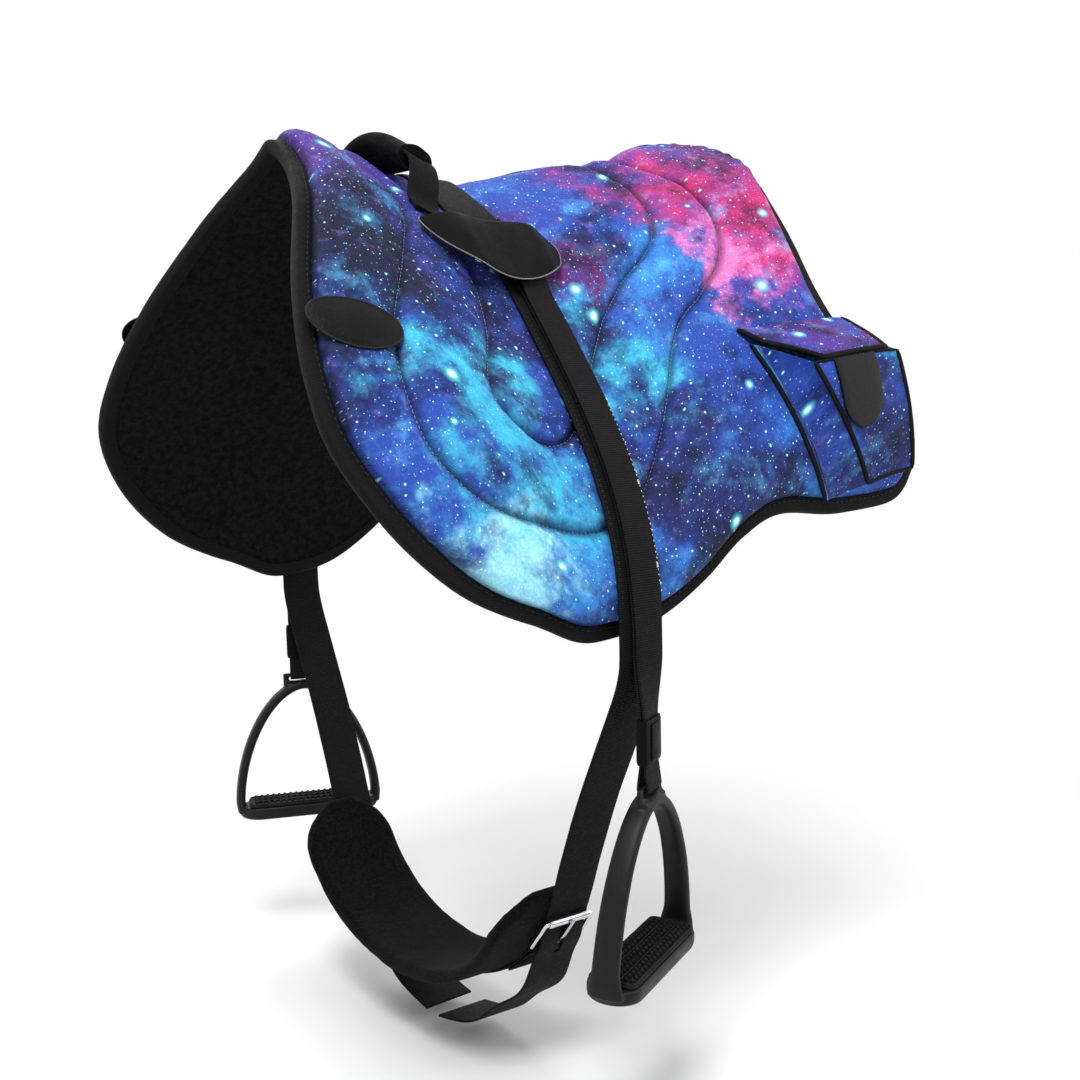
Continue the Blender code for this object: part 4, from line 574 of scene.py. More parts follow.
WEBBING = webbing("webbing")
TAPE = webbing("edge_tape", 0.0012)
FLEECE = hairy("fleece", dye(6, 6, 7), dye(24, 24, 26), 160.0)
FELT = hairy("girth_felt", dye(7, 7, 8), dye(25, 25, 27), 320.0)
MATT_VINYL = vinyl("matt_vinyl", 0.48, 0.0, dye(9, 9, 10))
GLOSS_VINYL = vinyl("gloss_vinyl", 0.24, 0.03, dye(6, 6, 7), 0.12)
SLEEVE = hairy("handle_sleeve", dye(7, 7, 8), dye(20, 20, 21), 240.0)
PALE_EDGE = vinyl("raw_vinyl_edge", 0.5, 0.0, dye(132, 130, 128))
GREY_TAPE = webbing("patch_overlock", 0.0011, 26)
WHITE_THREAD = thread("white_thread", dye(214, 216, 222))
PALE_THREAD = thread("pale_thread", dye(150, 156, 176))
BLACK_THREAD = thread("black_thread", dye(22, 22, 24))
print("cloth finishes:", len(bpy.data.materials), "materials so far")

# %% [markdown]
# The stirrup is moulded in black plastic, with the fine orange-peel skin that a mould leaves. Its tread is
# rubber, and the rings and buckles are plated steel with faint scratches. Steel mirrors whatever stands
# round it, so its look comes mostly from the light; only the haze and the scratches are drawn here.

# %% Plastic, rubber and plated steel
def moulded(name, colour, rough, scale, metres):
    """Moulded plastic or rubber."""
    made = Finish(name, colour, rough, gloss=0.2)
    where = made.place()
    skin = made.cloud(where, scale, 4.0, 0.6)
    rub = made.cloud(where, 30.0, 6.0, 0.65)
    made.set("Base Color", made.blend(made.spread(rub, 0.5, 0.8, 0.0, 0.5), colour, dye(42, 42, 45)))
    made.set("Roughness", made.spread(rub, 0.3, 0.8, rough * 0.85, min(rough * 1.3, 1.0)))
    made.set("Normal", made.bump(skin, metres, 0.4))
    return made.material


def plated(name):
    """Bright plated steel."""
    made = Finish(name, dye(222, 222, 224), 0.16, metal=1.0)
    where = made.place()
    stretched = made.node("Mapping", {"Vector": where, "Scale": (40.0, 900.0, 900.0)}).outputs[0]
    lines = made.cloud(stretched, 1.0, 4.0, 0.6)
    haze = made.cloud(where, 120.0, 4.0, 0.6)
    made.set("Base Color", made.blend(made.spread(haze, 0.45, 0.8, 0.0, 0.4), dye(214, 214, 217),
                                      dye(140, 140, 146)))
    made.set("Roughness", made.spread(haze, 0.3, 0.8, 0.10, 0.30))
    made.set("Normal", made.bump(lines, 0.00005, 0.3))
    return made.material


PLASTIC = moulded("moulded_plastic", dye(17, 17, 19), 0.46, 700.0, 0.0002)
RUBBER = moulded("tread_rubber", dye(12, 12, 13), 0.7, 1100.0, 0.0003)
STEEL = plated("plated_steel")
print("hard finishes ready")

# %% [markdown]
# A real pad is cut flat, so it starts as a paper pattern, and so does this one. The pattern is three lines:
# the outline, and two quilting seams that run round the seat and the flap. Points are listed along
# half of each, and a smooth curve goes through them. Rays join the three lines, so rows of corners can run
# evenly from the seat to the edge. A plain square grid would be simpler, but its rows would cross the seams
# at all angles and make them ragged.

# %% The pattern of the pad
OUTLINE_SHARES = (
    (-0.283, 0), (-0.287, 0.09), (-0.322, 0.226), (-0.377, 0.40), (-0.408, 0.56), (-0.405, 0.70),
    (-0.342, 0.852), (-0.242, 0.968), (-0.108, 0.997), (-0.033, 0.99), (0.05, 0.974), (0.133, 0.948),
    (0.20, 0.914), (0.275, 0.906), (0.392, 0.956), (0.50, 0.974), (0.55, 0.93), (0.57, 0.84),
    (0.542, 0.73), (0.50, 0.63), (0.497, 0.52), (0.52, 0.40), (0.553, 0.26), (0.592, 0.15), (0.618, 0))
OUTER_SEAM_SHARES = (
    (-0.180, 0), (-0.162, 0.08), (-0.147, 0.20), (-0.200, 0.35), (-0.275, 0.524), (-0.287, 0.69),
    (-0.247, 0.784), (-0.187, 0.822), (-0.100, 0.82), (-0.033, 0.808), (0.030, 0.772), (0.083, 0.704),
    (0.133, 0.624), (0.175, 0.55), (0.208, 0.504), (0.238, 0.48), (0.267, 0.464), (0.297, 0.44),
    (0.320, 0.424), (0.343, 0.40), (0.367, 0.364), (0.388, 0.30), (0.392, 0.22), (0.378, 0.12),
    (0.350, 0))
INNER_SEAM_SHARES = (
    (-0.117, 0), (-0.105, 0.10), (-0.093, 0.22), (-0.080, 0.32), (-0.103, 0.45), (-0.147, 0.576),
    (-0.143, 0.636), (-0.100, 0.668), (-0.047, 0.65), (-0.005, 0.596), (0.030, 0.536), (0.067, 0.48),
    (0.100, 0.434), (0.133, 0.402), (0.163, 0.376), (0.188, 0.36), (0.212, 0.346), (0.233, 0.33),
    (0.248, 0.316), (0.262, 0.298), (0.276, 0.27), (0.288, 0.224), (0.296, 0.16), (0.298, 0.08),
    (0.293, 0))
RAYS, LOWEST_SHARE = 300, 0.3125


def pattern_line(shares):
    """Places and inward directions of the rays on a smooth line through points of the pattern."""
    marks = [np.array([PAD_LENGTH * a, PAD_DROP * b]) for a, b in shares]
    spans = len(marks) - 1
    marks = [2 * marks[0] - marks[1]] + marks + [2 * marks[-1] - marks[-2]]
    places, inward = [], []
    half = RAYS // 2
    for j in range(RAYS + 1):
        before = j / half if j < half else 1
        after = max(j - half, 0) / half
        along = LOWEST_SHARE * before + (1 - LOWEST_SHARE) * after
        i = min(int(along * spans), spans - 1)
        t = along * spans - i
        p, q, r, w = marks[i:i + 4]
        bend, twist = 2 * p - 5 * q + 4 * r - w, 3 * q - p - 3 * r + w
        places.append((2 * q + (r - p) * t + bend * t ** 2 + twist * t ** 3) / 2)
        heading = (r - p) + 2 * bend * t + 3 * twist * t ** 2
        inward.append(np.array([heading[1], -heading[0]]) / np.linalg.norm(heading))
    inward[0], inward[-1] = np.array([1.0, 0.0]), np.array([-1.0, 0.0])
    return np.array(places), np.array(inward)


INNER, INNER_IN = pattern_line(INNER_SEAM_SHARES)
OUTER, OUTER_IN = pattern_line(OUTER_SEAM_SHARES)
EDGE, EDGE_IN = pattern_line(OUTLINE_SHARES)
print("half outline:", round(float(run_lengths(EDGE)[-1]), 2), "m")

# %% [markdown]
# Between its seams a quilted cushion swells, and each seam pulls a valley into it. The closer to the thread,
# the steeper the cloth falls, so the height is an exponential of the distance to the nearest seam. Small
# puckers cross each seam, because the thread gathers the cloth, and they fade out after two fingers' width.
# This could be a cloth simulation with pressure, but the seams would need thousands of pinned corners, and
# the valleys come out the same from a formula in a second.

# %% The quilted cushion
SEAM_DEPTH, PUCKER, CROWN = 0.0085, 0.0016, 0.0022
EDGE_TOP, EDGE_UNDER, CUSHION_FLOOR = -0.0112, -0.0172, -0.0190
RINGS_BETWEEN = (4, 5, 8, 8, 5, 5, 6, 8, 10, 2)
SEAT_COLUMNS = 56
SEAM_LAND, CREST_IN, HEM_IN, LAST_IN = 0.010, 0.030, 0.0142, 0.0017  # distances of lines from seams and edge
ROLL_LIFT = 0.007  # the roll behind the seat stands this much higher
FANS = ((0.25, 0.05, 0.085, 26, 0.0011), (0.10, 0.24, 0.05, 14, 0.0007))  # creases: x, s, reach, count, depth


def to_line(points, line):
    """Distance of each point from a line of the pattern."""
    a, d = line[:-1], np.diff(line, axis=0)
    best = np.full(len(points), 1e9)
    for start, step in zip(a, d):
        t = np.clip(((points - start) @ step) / (step @ step), 0, 1)
        best = np.minimum(best, np.linalg.norm(points - start - t[:, None] * step, axis=1))
    return best


def pressed(places):
    """The most that the cushion may rise under straps, ring cover, handle, patch and bag: a height over each
    one's footprint, and a slope round it."""
    x, s = places.T
    straps = 0.0001 + 0.12 * np.maximum(abs(x + 0.011) - 0.031, 0)
    cover = 0.0012 + 0.06 * np.maximum(np.hypot((x + 0.026) / 0.067, (s - 0.139) / 0.041) - 1, 0)
    handle = 0.0003 + 0.12 * np.maximum.reduce([abs(x + 0.066) - 0.017, 0.085 - s, s - 0.110, 0 * x])
    patch = 0.05 * np.maximum(np.hypot((x + 0.197) / 0.042, (s - 0.247) / 0.034) - 1, 0)
    bag = 0.0004 + 0.1 * np.maximum.reduce([0.168 - x, 0.262 - s, 0 * x])
    return np.minimum.reduce([straps, cover, handle, patch, bag])


def drawn_folds(places, spots, loose):
    """Creases that fan out where the pad bends most, behind the seat and beside it."""
    folds = np.zeros(len(places))
    for x, s, reach, count, deep in FANS:
        away = np.hypot(places[:, 0] - x, places[:, 1] - s)
        turn = np.arctan2(places[:, 1] - s, places[:, 0] - x) * count + 3 * ripple(spots, 0.05, 11.0)
        folds += deep * np.exp(-((away - reach) / 0.040) ** 2) * np.sin(turn) * loose * (places[:, 0] > 0.05)
    return folds


def cushion_height(places, side):
    """Height of the printed side over the plain face, with seams, puckers and the roll behind the seat."""
    inner, outer, edge = (to_line(places, line) for line in (INNER, OUTER, EDGE))
    seam = np.minimum(inner, outer)
    spots = np.column_stack([places, np.full(len(places), side * 0.7)])
    swell = 0.56 * (1 - np.exp(-seam / 0.0050)) + 0.44 * (1 - np.exp(-seam / 0.022))
    behind = ease((places[:, 0] / PAD_LENGTH - 0.34) / 0.08)
    roll = behind * (1 - ease((places[:, 1] / PAD_DROP - 0.14) / 0.34))
    height = -SEAM_DEPTH + (SEAM_DEPTH + CROWN) * swell + ROLL_LIFT * roll * swell
    near = np.exp(-seam / 0.014) * (1 - np.exp(-seam / 0.0025))
    height += PUCKER * near * (ripple(spots, 0.010) + 0.6 * ripple(spots, 0.0055, 4.0))
    loose = np.minimum(swell, 1)
    height += loose * (0.0013 * ripple(spots, 0.060, 3.0) + 0.0006 * ripple(spots, 0.022, 7.0))
    height += drawn_folds(places, spots, loose)
    hem = np.exp(-np.maximum(edge - 0.0145, 0) / 0.010)
    height = np.minimum(height + 0.0010 * hem * ripple(spots, 0.009, 5.0), pressed(places))
    out = np.clip((CREST_IN - edge) / (CREST_IN - HEM_IN), 0, 1)
    round_down = 1 - np.sqrt(np.maximum(1 - out ** 2, 0))
    height = height * (1 - round_down) + EDGE_TOP * round_down
    return np.where(edge < HEM_IN + 0.0001, EDGE_TOP, height)


def fan_out(side, lines, heights, seat_heights):
    """Points and faces of one side of a layer: the seat's ladder and the rings round it."""
    half = RAYS // 2
    shares = np.linspace(0, 1, SEAT_COLUMNS + 1)
    seat = lines[0]
    ladder = np.array([[seat[j] + (seat[RAYS - j] - seat[j]) * t for t in shares] for j in range(half + 1)])
    rows = ladder.reshape(-1, 2)
    places = np.concatenate([rows] + lines)
    level = np.concatenate([seat_heights(rows)] + heights)
    points = HORSE.at(places[:, 0], side * np.maximum(places[:, 1], 0), level)
    points[places[:, 1] <= 1e-6, 1] = 0.0
    faces = []
    for start, count, width in ((0, half + 1, SEAT_COLUMNS + 1), (len(rows), len(lines), RAYS + 1)):
        for k in range(count - 1):
            for j in range(width - 1):
                n = start + k * width + j
                faces.append((n, n + 1, n + width + 1, n + width))
    lay = np.column_stack([places[:, 0], side * places[:, 1], level])
    edge = [len(places) - (RAYS + 1) + j for j in range(RAYS + 1)]
    return points, faces, lay, edge


def moved(line, inward, distance):
    """A line of the pattern, moved inwards."""
    return line + inward * distance


def ring_lines(rings):
    """Lines from the seat to the edge, with some more between each two."""
    seams = [[moved(line, inward, by) for by in (SEAM_LAND, 0, -SEAM_LAND)]
             for line, inward in ((INNER, INNER_IN), (OUTER, OUTER_IN))]
    rim = [moved(EDGE, EDGE_IN, by) for by in (CREST_IN, HEM_IN, LAST_IN)]
    main = seams[0] + [(seams[0][2] + seams[1][0]) / 2] + seams[1] + [(seams[1][2] + rim[0]) / 2] + rim
    lines = [main[0]]
    for first, second, count in zip(main, main[1:], rings):
        lines += [first + (second - first) * (k + 1) / count for k in range(count)]
    return lines


def layer(name, top, under, finish, rings=RINGS_BETWEEN):
    """A closed layer of the pad from the heights of its two sides."""
    points, faces, lay = [], [], []
    for side in (-1, 1):
        edges = []
        for height, count in ((top, rings), (under, (1,) * 10)):
            lines = ring_lines(count)
            made = fan_out(side, lines, [height(line, side) for line in lines],
                           lambda rows, height=height: height(rows, side))
            start = sum(len(p) for p in points)
            points.append(made[0])
            lay.append(made[2])
            faces += [tuple(n + start for n in face) for face in made[1]]
            edges.append([n + start for n in made[3]])
        faces += [(edges[0][j], edges[0][j + 1], edges[1][j + 1], edges[1][j]) for j in range(RAYS)]
    thing = build(name, np.concatenate(points), faces, finish, "pad", sharp=60)
    return store_lay(thing)


def thinned(places):
    """How far a layer has thinned towards the edge: 0 inside, 1 at the outline."""
    return ease((0.026 - to_line(places, EDGE)) / 0.012)


def cushion_under(places, side):
    """The plain side of the cushion."""
    return CUSHION_FLOOR + (EDGE_UNDER - CUSHION_FLOOR) * thinned(places)


cushion = layer("quilted_cushion", cushion_height, cushion_under, PRINT)
dress(cushion, "printed_cloth", "cover_left", "cover_right", "foam_left", "foam_right")
print("cushion:", len(cushion.data.polygons), "faces")

# %% [markdown]
# Underneath is a black fleece lining, which lies against the horse and keeps the pad from slipping. It is
# cut to the same pattern as the cover, so it is made from the same rows of corners. It is thin and held
# flat, so it gets soft dents only; a cloth simulation would have nothing to add.

# %% The lining
LINING_TOP, LINING_EDGE_TOP, LINING_FLOOR, LINING_EDGE_FLOOR = -0.0193, -0.0176, -0.0214, -0.0200


def lining_top(places, side):
    """Just under the cushion."""
    return LINING_TOP + (LINING_EDGE_TOP - LINING_TOP) * thinned(places)


def lining_under(places, side):
    """The side against the horse, with soft dents that fade out at the edge and the spine."""
    spots = np.column_stack([places, np.full(len(places), side * 0.3)])
    inside = ease((to_line(places, EDGE) - 0.02) / 0.01) * ease(places[:, 1] / 0.02)
    plain = LINING_FLOOR + (LINING_EDGE_FLOOR - LINING_FLOOR) * thinned(places)
    return plain + 0.0005 * ripple(spots, 0.03, 2.0) * inside


lining = layer("fleece_lining", lining_top, lining_under, FLEECE, (1, 1, 2, 2, 1, 1, 2, 2, 2, 1))
dress(lining, "black_cloth", "lining")
CUT_SIZE = (np.ptp(EDGE[:, 0]), 2 * EDGE[:, 1].max())
CUT_AREA = abs(np.sum(EDGE[:, 0] * np.roll(EDGE[:, 1], -1) - EDGE[:, 1] * np.roll(EDGE[:, 0], -1)))
print("lining cut, in metres and square metres:", np.round((*CUT_SIZE, CUT_AREA), 3))

# %% [markdown]
# A folded tape closes the raw edges of the layers. Its section is a soft U, and it puckers a little where
# it goes round curves. A curve with a bevelled profile could draw it too, but a profile turns freely along
# its curve. Here each section is placed on a ray of the pattern, so the fold always faces the middle of the
# pad.

# %% The edge tape
TAPE_FLOOR, TAPE_TOP, TAPE_WIDTH, TAPE_THICK = -0.0215, -0.0092, 0.0135, 0.0011


def tape_section():
    """Corners of the folded tape: distance from the edge, and height."""
    tall = (TAPE_TOP - TAPE_FLOOR) / 2
    middle = TAPE_FLOOR + tall
    turns = np.radians(np.linspace(-90, 90, 11))
    outer = [(tall * 0.55 - tall * 0.55 * math.cos(a), middle + tall * math.sin(a)) for a in turns]
    inner = [(d + TAPE_THICK * math.cos(a) + 0.0001, middle + (tall - TAPE_THICK) * math.sin(a))
             for (d, _), a in zip(outer, turns)]
    lip = TAPE_THICK / 2
    section = [(TAPE_WIDTH, TAPE_FLOOR + 0.0001)] + outer + [(TAPE_WIDTH, TAPE_TOP)]
    section += [(TAPE_WIDTH + lip, TAPE_TOP - lip), (TAPE_WIDTH, TAPE_TOP - TAPE_THICK)] + inner[::-1]
    return section + [(TAPE_WIDTH, TAPE_FLOOR + TAPE_THICK), (TAPE_WIDTH + lip, TAPE_FLOOR + lip)]


def make_tape():
    """The tape round the outline, on both sides."""
    section = np.array(tape_section())
    points = []
    for side in (-1, 1):
        order = range(RAYS + 1) if side < 0 else range(RAYS - 1, 0, -1)
        for j in order:
            place = EDGE[j] + EDGE_IN[j] * section[:, :1]
            spots = np.column_stack([place, section[:, 1]])
            push = 0.00035 * ripple(spots * np.array([1, side, 1]), 0.008)
            s = side * np.maximum(place[:, 1], 0)
            height = section[:, 1] + push * (section[:, 1] > -0.012)
            points.append(HORSE.at(place[:, 0], s, height))
    faces = rings_to_faces(len(section), len(points), closed=True)
    thing = build("edge_tape", np.concatenate(points), faces, TAPE, "pad", sharp=70)
    return dress(store_lay(thing), "webbing", "edge_binding")


make_tape()
print("tape sewn round the edge")

# %% [markdown]
# Stitches are small, but they catch light, and they show at once when they are missing. Dashes in the
# shader would be lighter to make, yet they would lie flat on the cloth. So each stitch is a little capsule
# of thread, and a row of them follows any line in space at an even pitch.

# %% Rows of stitches
STITCH_SIDES = 6
STITCH_SHAPE = ((0.0, 0.4), (0.12, 0.9), (0.5, 1.15), (0.88, 0.9), (1.0, 0.4))  # share of length, of thickness


def one_stitch(start, end, thick):
    """The rings of a little capsule of thread from start to end."""
    along = end - start
    across = np.cross(along, (0.3, 0.5, 0.8))
    across /= np.linalg.norm(across)
    other = np.cross(along, across)
    other /= np.linalg.norm(other)
    return [start + along * t + thick * wide * (math.cos(a) * across + math.sin(a) * other)
            for t, wide in STITCH_SHAPE for a in circle(STITCH_SIDES)]


def stitch_row(name, paths, body, colour, pitch=0.0058, share=0.66, thick=0.00042):
    """One object with a capsule of thread for each stitch along the paths."""
    points, faces = [], []
    for path in paths:
        lengths = run_lengths(path)
        for mark in np.arange(pitch / 2, lengths[-1], pitch):
            ends = [np.array([np.interp(m, lengths, path[:, k]) for k in range(3)])
                    for m in (mark - pitch * share / 2, mark + pitch * share / 2)]
            if np.linalg.norm(ends[1] - ends[0]) > 1e-6:
                faces += [tuple(n + len(points) for n in face)
                          for face in rings_to_faces(STITCH_SIDES, len(STITCH_SHAPE))]
                points += one_stitch(*ends, thick)
    return build(name, points, faces, colour, body, sharp=80)


def sewn(places, side, height=None):
    """A line of the pattern as a path in space; without a height it lies on the cushion."""
    level = cushion_height(places, side) + 0.0002 if height is None else height
    return HORSE.at(places[:, 0], side * np.maximum(places[:, 1], 0.0002), level)


for word, side in SIDES:
    on_seams = [sewn(INNER, side), sewn(OUTER, side)]
    stitch_row("quilting_thread_" + word, on_seams, "pad", PALE_THREAD, pitch=0.0044, share=0.6, thick=0.0003)
    on_tape = sewn(moved(EDGE, EDGE_IN, 0.0108), side, TAPE_TOP + 0.0002)
    stitch_row("tape_thread_" + word, [on_tape], "pad", BLACK_THREAD)
print("stitched seams and tape")

# %% [markdown]
# Some pieces are already the right shape as solids, only too sharp: the patches and the bag's small
# fittings. No made thing has a perfectly sharp edge, so a copy of the solid with bevelled edges stands for
# each of them, and its edges catch a thin line of light. Cords and wires are round tubes along a path, and
# they bind edges and make rings.

# %% Softened copies, cords and wires
def soft_copy(node, name, finish, body, stock, edge, smooth=0):
    """A copy of a solid with softened edges, which stands for it."""

    def soften(work):
        bmesh.ops.dissolve_limit(work, angle_limit=math.radians(0.8), verts=work.verts, edges=work.edges)
        sharp = [e for e in work.edges if len(e.link_faces) == 2 and e.calc_face_angle(0) > math.radians(38)]
        bmesh.ops.bevel(work, geom=sharp, offset=edge, segments=2, profile=0.5, affect="EDGES",
                        clamp_overlap=True)

    mesh = worked(nodes[node].data.copy(), weld, soften)
    mesh.name = name
    mesh.materials.clear()
    mesh.materials.append(finish)
    mesh.shade_smooth()
    mesh.set_sharp_from_angle(angle=math.radians(50))
    thing = set_down(name, mesh)
    if smooth:
        rounding = thing.modifiers.new("round", "SUBSURF")
        rounding.render_levels = rounding.levels = smooth
    return dress(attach(thing, body), stock, node)


def piping(name, path, radius, body, finish, closed=False, sides=12):
    """A round cord or wire along a path in space."""
    path = np.asarray(path, float)
    count = len(path)
    points, up = [], None
    for i, point in enumerate(path):
        after, before = (i + 1) % count if closed else min(i + 1, count - 1), i - 1 if closed or i else 0
        along = path[after] - path[before]
        along /= np.linalg.norm(along)
        if up is None:
            up = np.cross(along, (0.2, 0.1, 0.97))
        up = up - along * (up @ along)
        up /= np.linalg.norm(up)
        other = np.cross(along, up)
        size = radius * (0.6 if not closed and i in (0, count - 1) else 1)
        points += [point + size * (math.cos(a) * up + math.sin(a) * other) for a in circle(sides)]
    if closed:
        points = np.array(points).reshape(count, sides, 3)
        slip = min(range(sides), key=lambda k: np.linalg.norm(points[0][0] - points[-1][k]))
        points = np.array([np.roll(ring, -round(slip * i / (count - 1)), axis=0)
                           for i, ring in enumerate(points)]).reshape(-1, 3)
    thing = build(name, points, rings_to_faces(sides, count, closed), finish, body, sharp=60)
    return store_lay(thing)


print("helpers for trim ready")

# %% [markdown]
# Straps are flat webbing, so they are not simulated: a simulation would round them off. Each one is a flat
# band with soft edges that is carried along a smooth path. The paths run through the same places as the
# solids: on the pad, round the rings, through the stirrup's eye and round the buckles' bars. A slow ripple
# in height and width keeps the woven bands from looking machined. Ribs follow the stored lay: across the
# band, along it, and through it.

# %% Straps of webbing
BAND_SHAPE = ((-1, -0.4), (-0.985, -0.85), (-0.95, -1), (-0.5, -1), (0, -1), (0.5, -1), (0.95, -1),
              (0.985, -0.85), (1, -0.4), (1, 0.4), (0.985, 0.85), (0.95, 1), (0.5, 1), (0, 1), (-0.5, 1),
              (-0.95, 1), (-0.985, 0.85), (-1, 0.4))


def evenly(path, step):
    """Places along a bent path, about a step apart, with its corners kept."""
    path = np.asarray(path, float)
    found = [path[0]]
    for first, second in zip(path, path[1:]):
        count = max(1, int(round(np.linalg.norm(second - first) / step)))
        found += [first + (second - first) * (k + 1) / count for k in range(count)]
    return np.array(found)


def eased(path, rounds):
    """Round off the kinks of an even path, and leave its ends."""
    path = path.copy()
    for _ in range(rounds):
        path[1:-1] = (path[:-2] + 2 * path[1:-1] + path[2:]) / 4
    return path


def turn_about(centre, radius, first, last):
    """Places round a centre, from one angle to another in degrees."""
    angles = np.radians(np.linspace(first, last, 15))
    return [(centre[0] + radius * math.cos(a), centre[1] + radius * math.sin(a)) for a in angles]


def band(name, path, width, thick, place, finish, body, ripple_size=0.0003):
    """A flat band along a drawn path; place(across, along, height) puts it in space."""
    path = np.asarray(path, float)
    ahead = np.gradient(path, axis=0)
    ahead /= np.linalg.norm(ahead, axis=1)[:, None]
    left = np.column_stack([-ahead[:, 1], ahead[:, 0]])
    lengths, section = run_lengths(path), np.array(BAND_SHAPE)
    points, lay = [], []
    for length, middle, side_way in zip(lengths, path, left):
        wave = noise.noise(Vector((length / 0.045, len(name) * 1.7, 0.0)))
        across = section[:, 0] * width / 2 * (1 + 0.5 * ripple_size * wave / (width / 2))
        spots = middle + side_way * (section[:, 1:] * thick / 2)
        points.append(place(across, spots[:, 0], spots[:, 1] + ripple_size * wave * 0.3))
        lay.append(np.column_stack([across, np.full(len(section), length), section[:, 1] * thick / 2]))
    points = np.concatenate(points)
    thing = build(name, points, rings_to_faces(len(section), len(lay)), finish, body, sharp=60)
    return lay_by_place(thing, points, np.concatenate(lay))


def applied(thing):
    """Turn a piece's modifiers into its own mesh."""
    done = bpy.data.meshes.new_from_object(thing.evaluated_get(bpy.context.evaluated_depsgraph_get()))
    thing.modifiers.clear()
    old = thing.data
    thing.data = done
    bpy.data.meshes.remove(old)
    return thing


def cut_slot(thing, corner, *ends):
    """Cut the slot for a buckle's tongue through a band, and keep its lay. The cut is a slanted box that
    goes from one corner to three ends."""
    old_places, old_lay = corners(thing), np.zeros(len(thing.data.vertices) * 3)
    thing.data.attributes["lay"].data.foreach_get("vector", old_lay)
    bpy.ops.mesh.primitive_cube_add(size=1)
    cutter = bpy.context.object
    cutter.data.transform(Matrix.Translation((0.5, 0.5, 0.5)))
    axes = Matrix([*zip(*(end - corner for end in ends), corner), (0, 0, 0, 1)])
    cutter.data.transform(axes)
    if axes.determinant() < 0:
        cutter.data.flip_normals()
    step = thing.modifiers.new("slot", "BOOLEAN")
    step.operation, step.object, step.solver = "DIFFERENCE", cutter, "EXACT"
    applied(thing)
    bpy.data.objects.remove(cutter)
    if "lay" in thing.data.attributes:
        thing.data.attributes.remove(thing.data.attributes["lay"])
    return lay_by_place(thing, old_places, old_lay.reshape(-1, 3))


def on_side(x, side):
    """A place function for a band that runs down one side of the pad."""
    return lambda across, s, h: on_straps(x + across, side * s, h)


BACK_X, BACK_WIDTH, BACK_H, RING_S, RING_LOOP, BAR_H = -0.015, 0.050, 0.00175, 0.118, 0.00395, 0.0057
BILLET_X, BILLET_WIDTH, BILLET_H, BILLET_TOP = -0.004, 0.044, 0.00175, 0.0029
STRAP_X, STRAP_WIDTH, INNER_H, OUTER_H, BOW_S, BOW_LOOP = -0.0025, 0.028, 0.0043, 0.0074, 0.156, 0.0042
BEND_S, WEB, WEB_THIN = 0.475, 0.0023, 0.0022
PIVOT_S, PIVOT_H, FOLD, WEB_H, BELLY_S, ROLLER_S = 0.81, 0.0039, 0.00345, 0.00045, 0.98316, 0.776
TAIL, TAIL_SAG, SLOT_SIDE, SLOT_TOP, SLOT_FOOT = 0.165, 0.044, 0.0032, 0.7785, 0.8165


def back_strap():
    """Webbing over the back, looped round both rings."""
    half = [(0.0, BACK_H), (RING_S, BACK_H)] + turn_about((RING_S, BAR_H), RING_LOOP, -90, 115)
    half += [(RING_S - 3 * RING_LOOP, BACK_H + 0.0028), (RING_S - 0.024, BACK_H + 0.0026)]
    half = eased(evenly(half, 0.0016), 2)
    path = np.concatenate([half[:0:-1] * (-1, 1), half])
    thing = band("back_strap_woven", path, BACK_WIDTH, WEB,
                 lambda across, s, h: on_straps(BACK_X + across, s, h), WEBBING, "pad")
    return dress(thing, "webbing", "back_strap")


def billet(word, side):
    """Girth billet: on the pad, free below it, behind the roller, over the lower bar and down."""
    behind, over = 0.0016 + 0.0003 + WEB / 2, PIVOT_H + FOLD + WEB / 2 + 0.0006 + WEB / 2
    knots = [0.130, BEND_S, 0.718, 0.752, ROLLER_S + 0.0037, PIVOT_S - FOLD, PIVOT_S + FOLD]
    heights = [BILLET_H, BILLET_H, BILLET_H, behind, behind, over, over]
    for far, sag in ((0.27, 0.36), (0.46, 0.44), (0.73, 0.86), (1, 1)):
        knots.append(PIVOT_S + TAIL * far)
        heights.append(over + TAIL_SAG * sag)
    s, place = np.linspace(0.130, PIVOT_S + TAIL, 240), on_side(BILLET_X, side)
    path = eased(np.column_stack([s, smooth_through(knots, heights)(s)]), 6)
    thing = band("billet_woven_" + word, path, BILLET_WIDTH, WEB, place, WEBBING, "pad")
    cut_slot(thing, *(spot(place, across, along, height) for across, along, height in (
        (-SLOT_SIDE, SLOT_TOP, 0.0), (SLOT_SIDE, SLOT_TOP, 0.0), (-SLOT_SIDE, SLOT_FOOT, 0.004),
        (-SLOT_SIDE, SLOT_TOP, 0.014))))
    return dress(thing, "webbing", "billet_" + word)


def girth_web():
    """Webbing round the belly that holds both buckles."""
    half = [(PIVOT_S + 0.050, WEB_H + 0.0026), (PIVOT_S + 4 * FOLD, WEB_H + 0.0027),
            (PIVOT_S + FOLD, PIVOT_H + FOLD * 0.85)] + turn_about((PIVOT_S, PIVOT_H), FOLD, 90, 270)
    half += [(BELLY_S, WEB_H)]
    half = eased(evenly(half, 0.0018), 2)
    other = half[-2::-1]
    whole = np.concatenate([half, np.column_stack([2 * BELLY_S - other[:, 0], other[:, 1]])])

    def place(across, along, height):
        beyond = along > BELLY_S
        s = np.where(beyond, 2 * BELLY_S - along, -along)
        return on_straps(BILLET_X + across, s, height)

    thing = band("girth_web_woven", whole, BILLET_WIDTH, WEB, place, WEBBING, "pad")
    return dress(thing, "webbing", "girth_webbing")


back_strap()
girth_web()
for word, side in SIDES:
    billet(word, side)
print("straps on the pad woven")
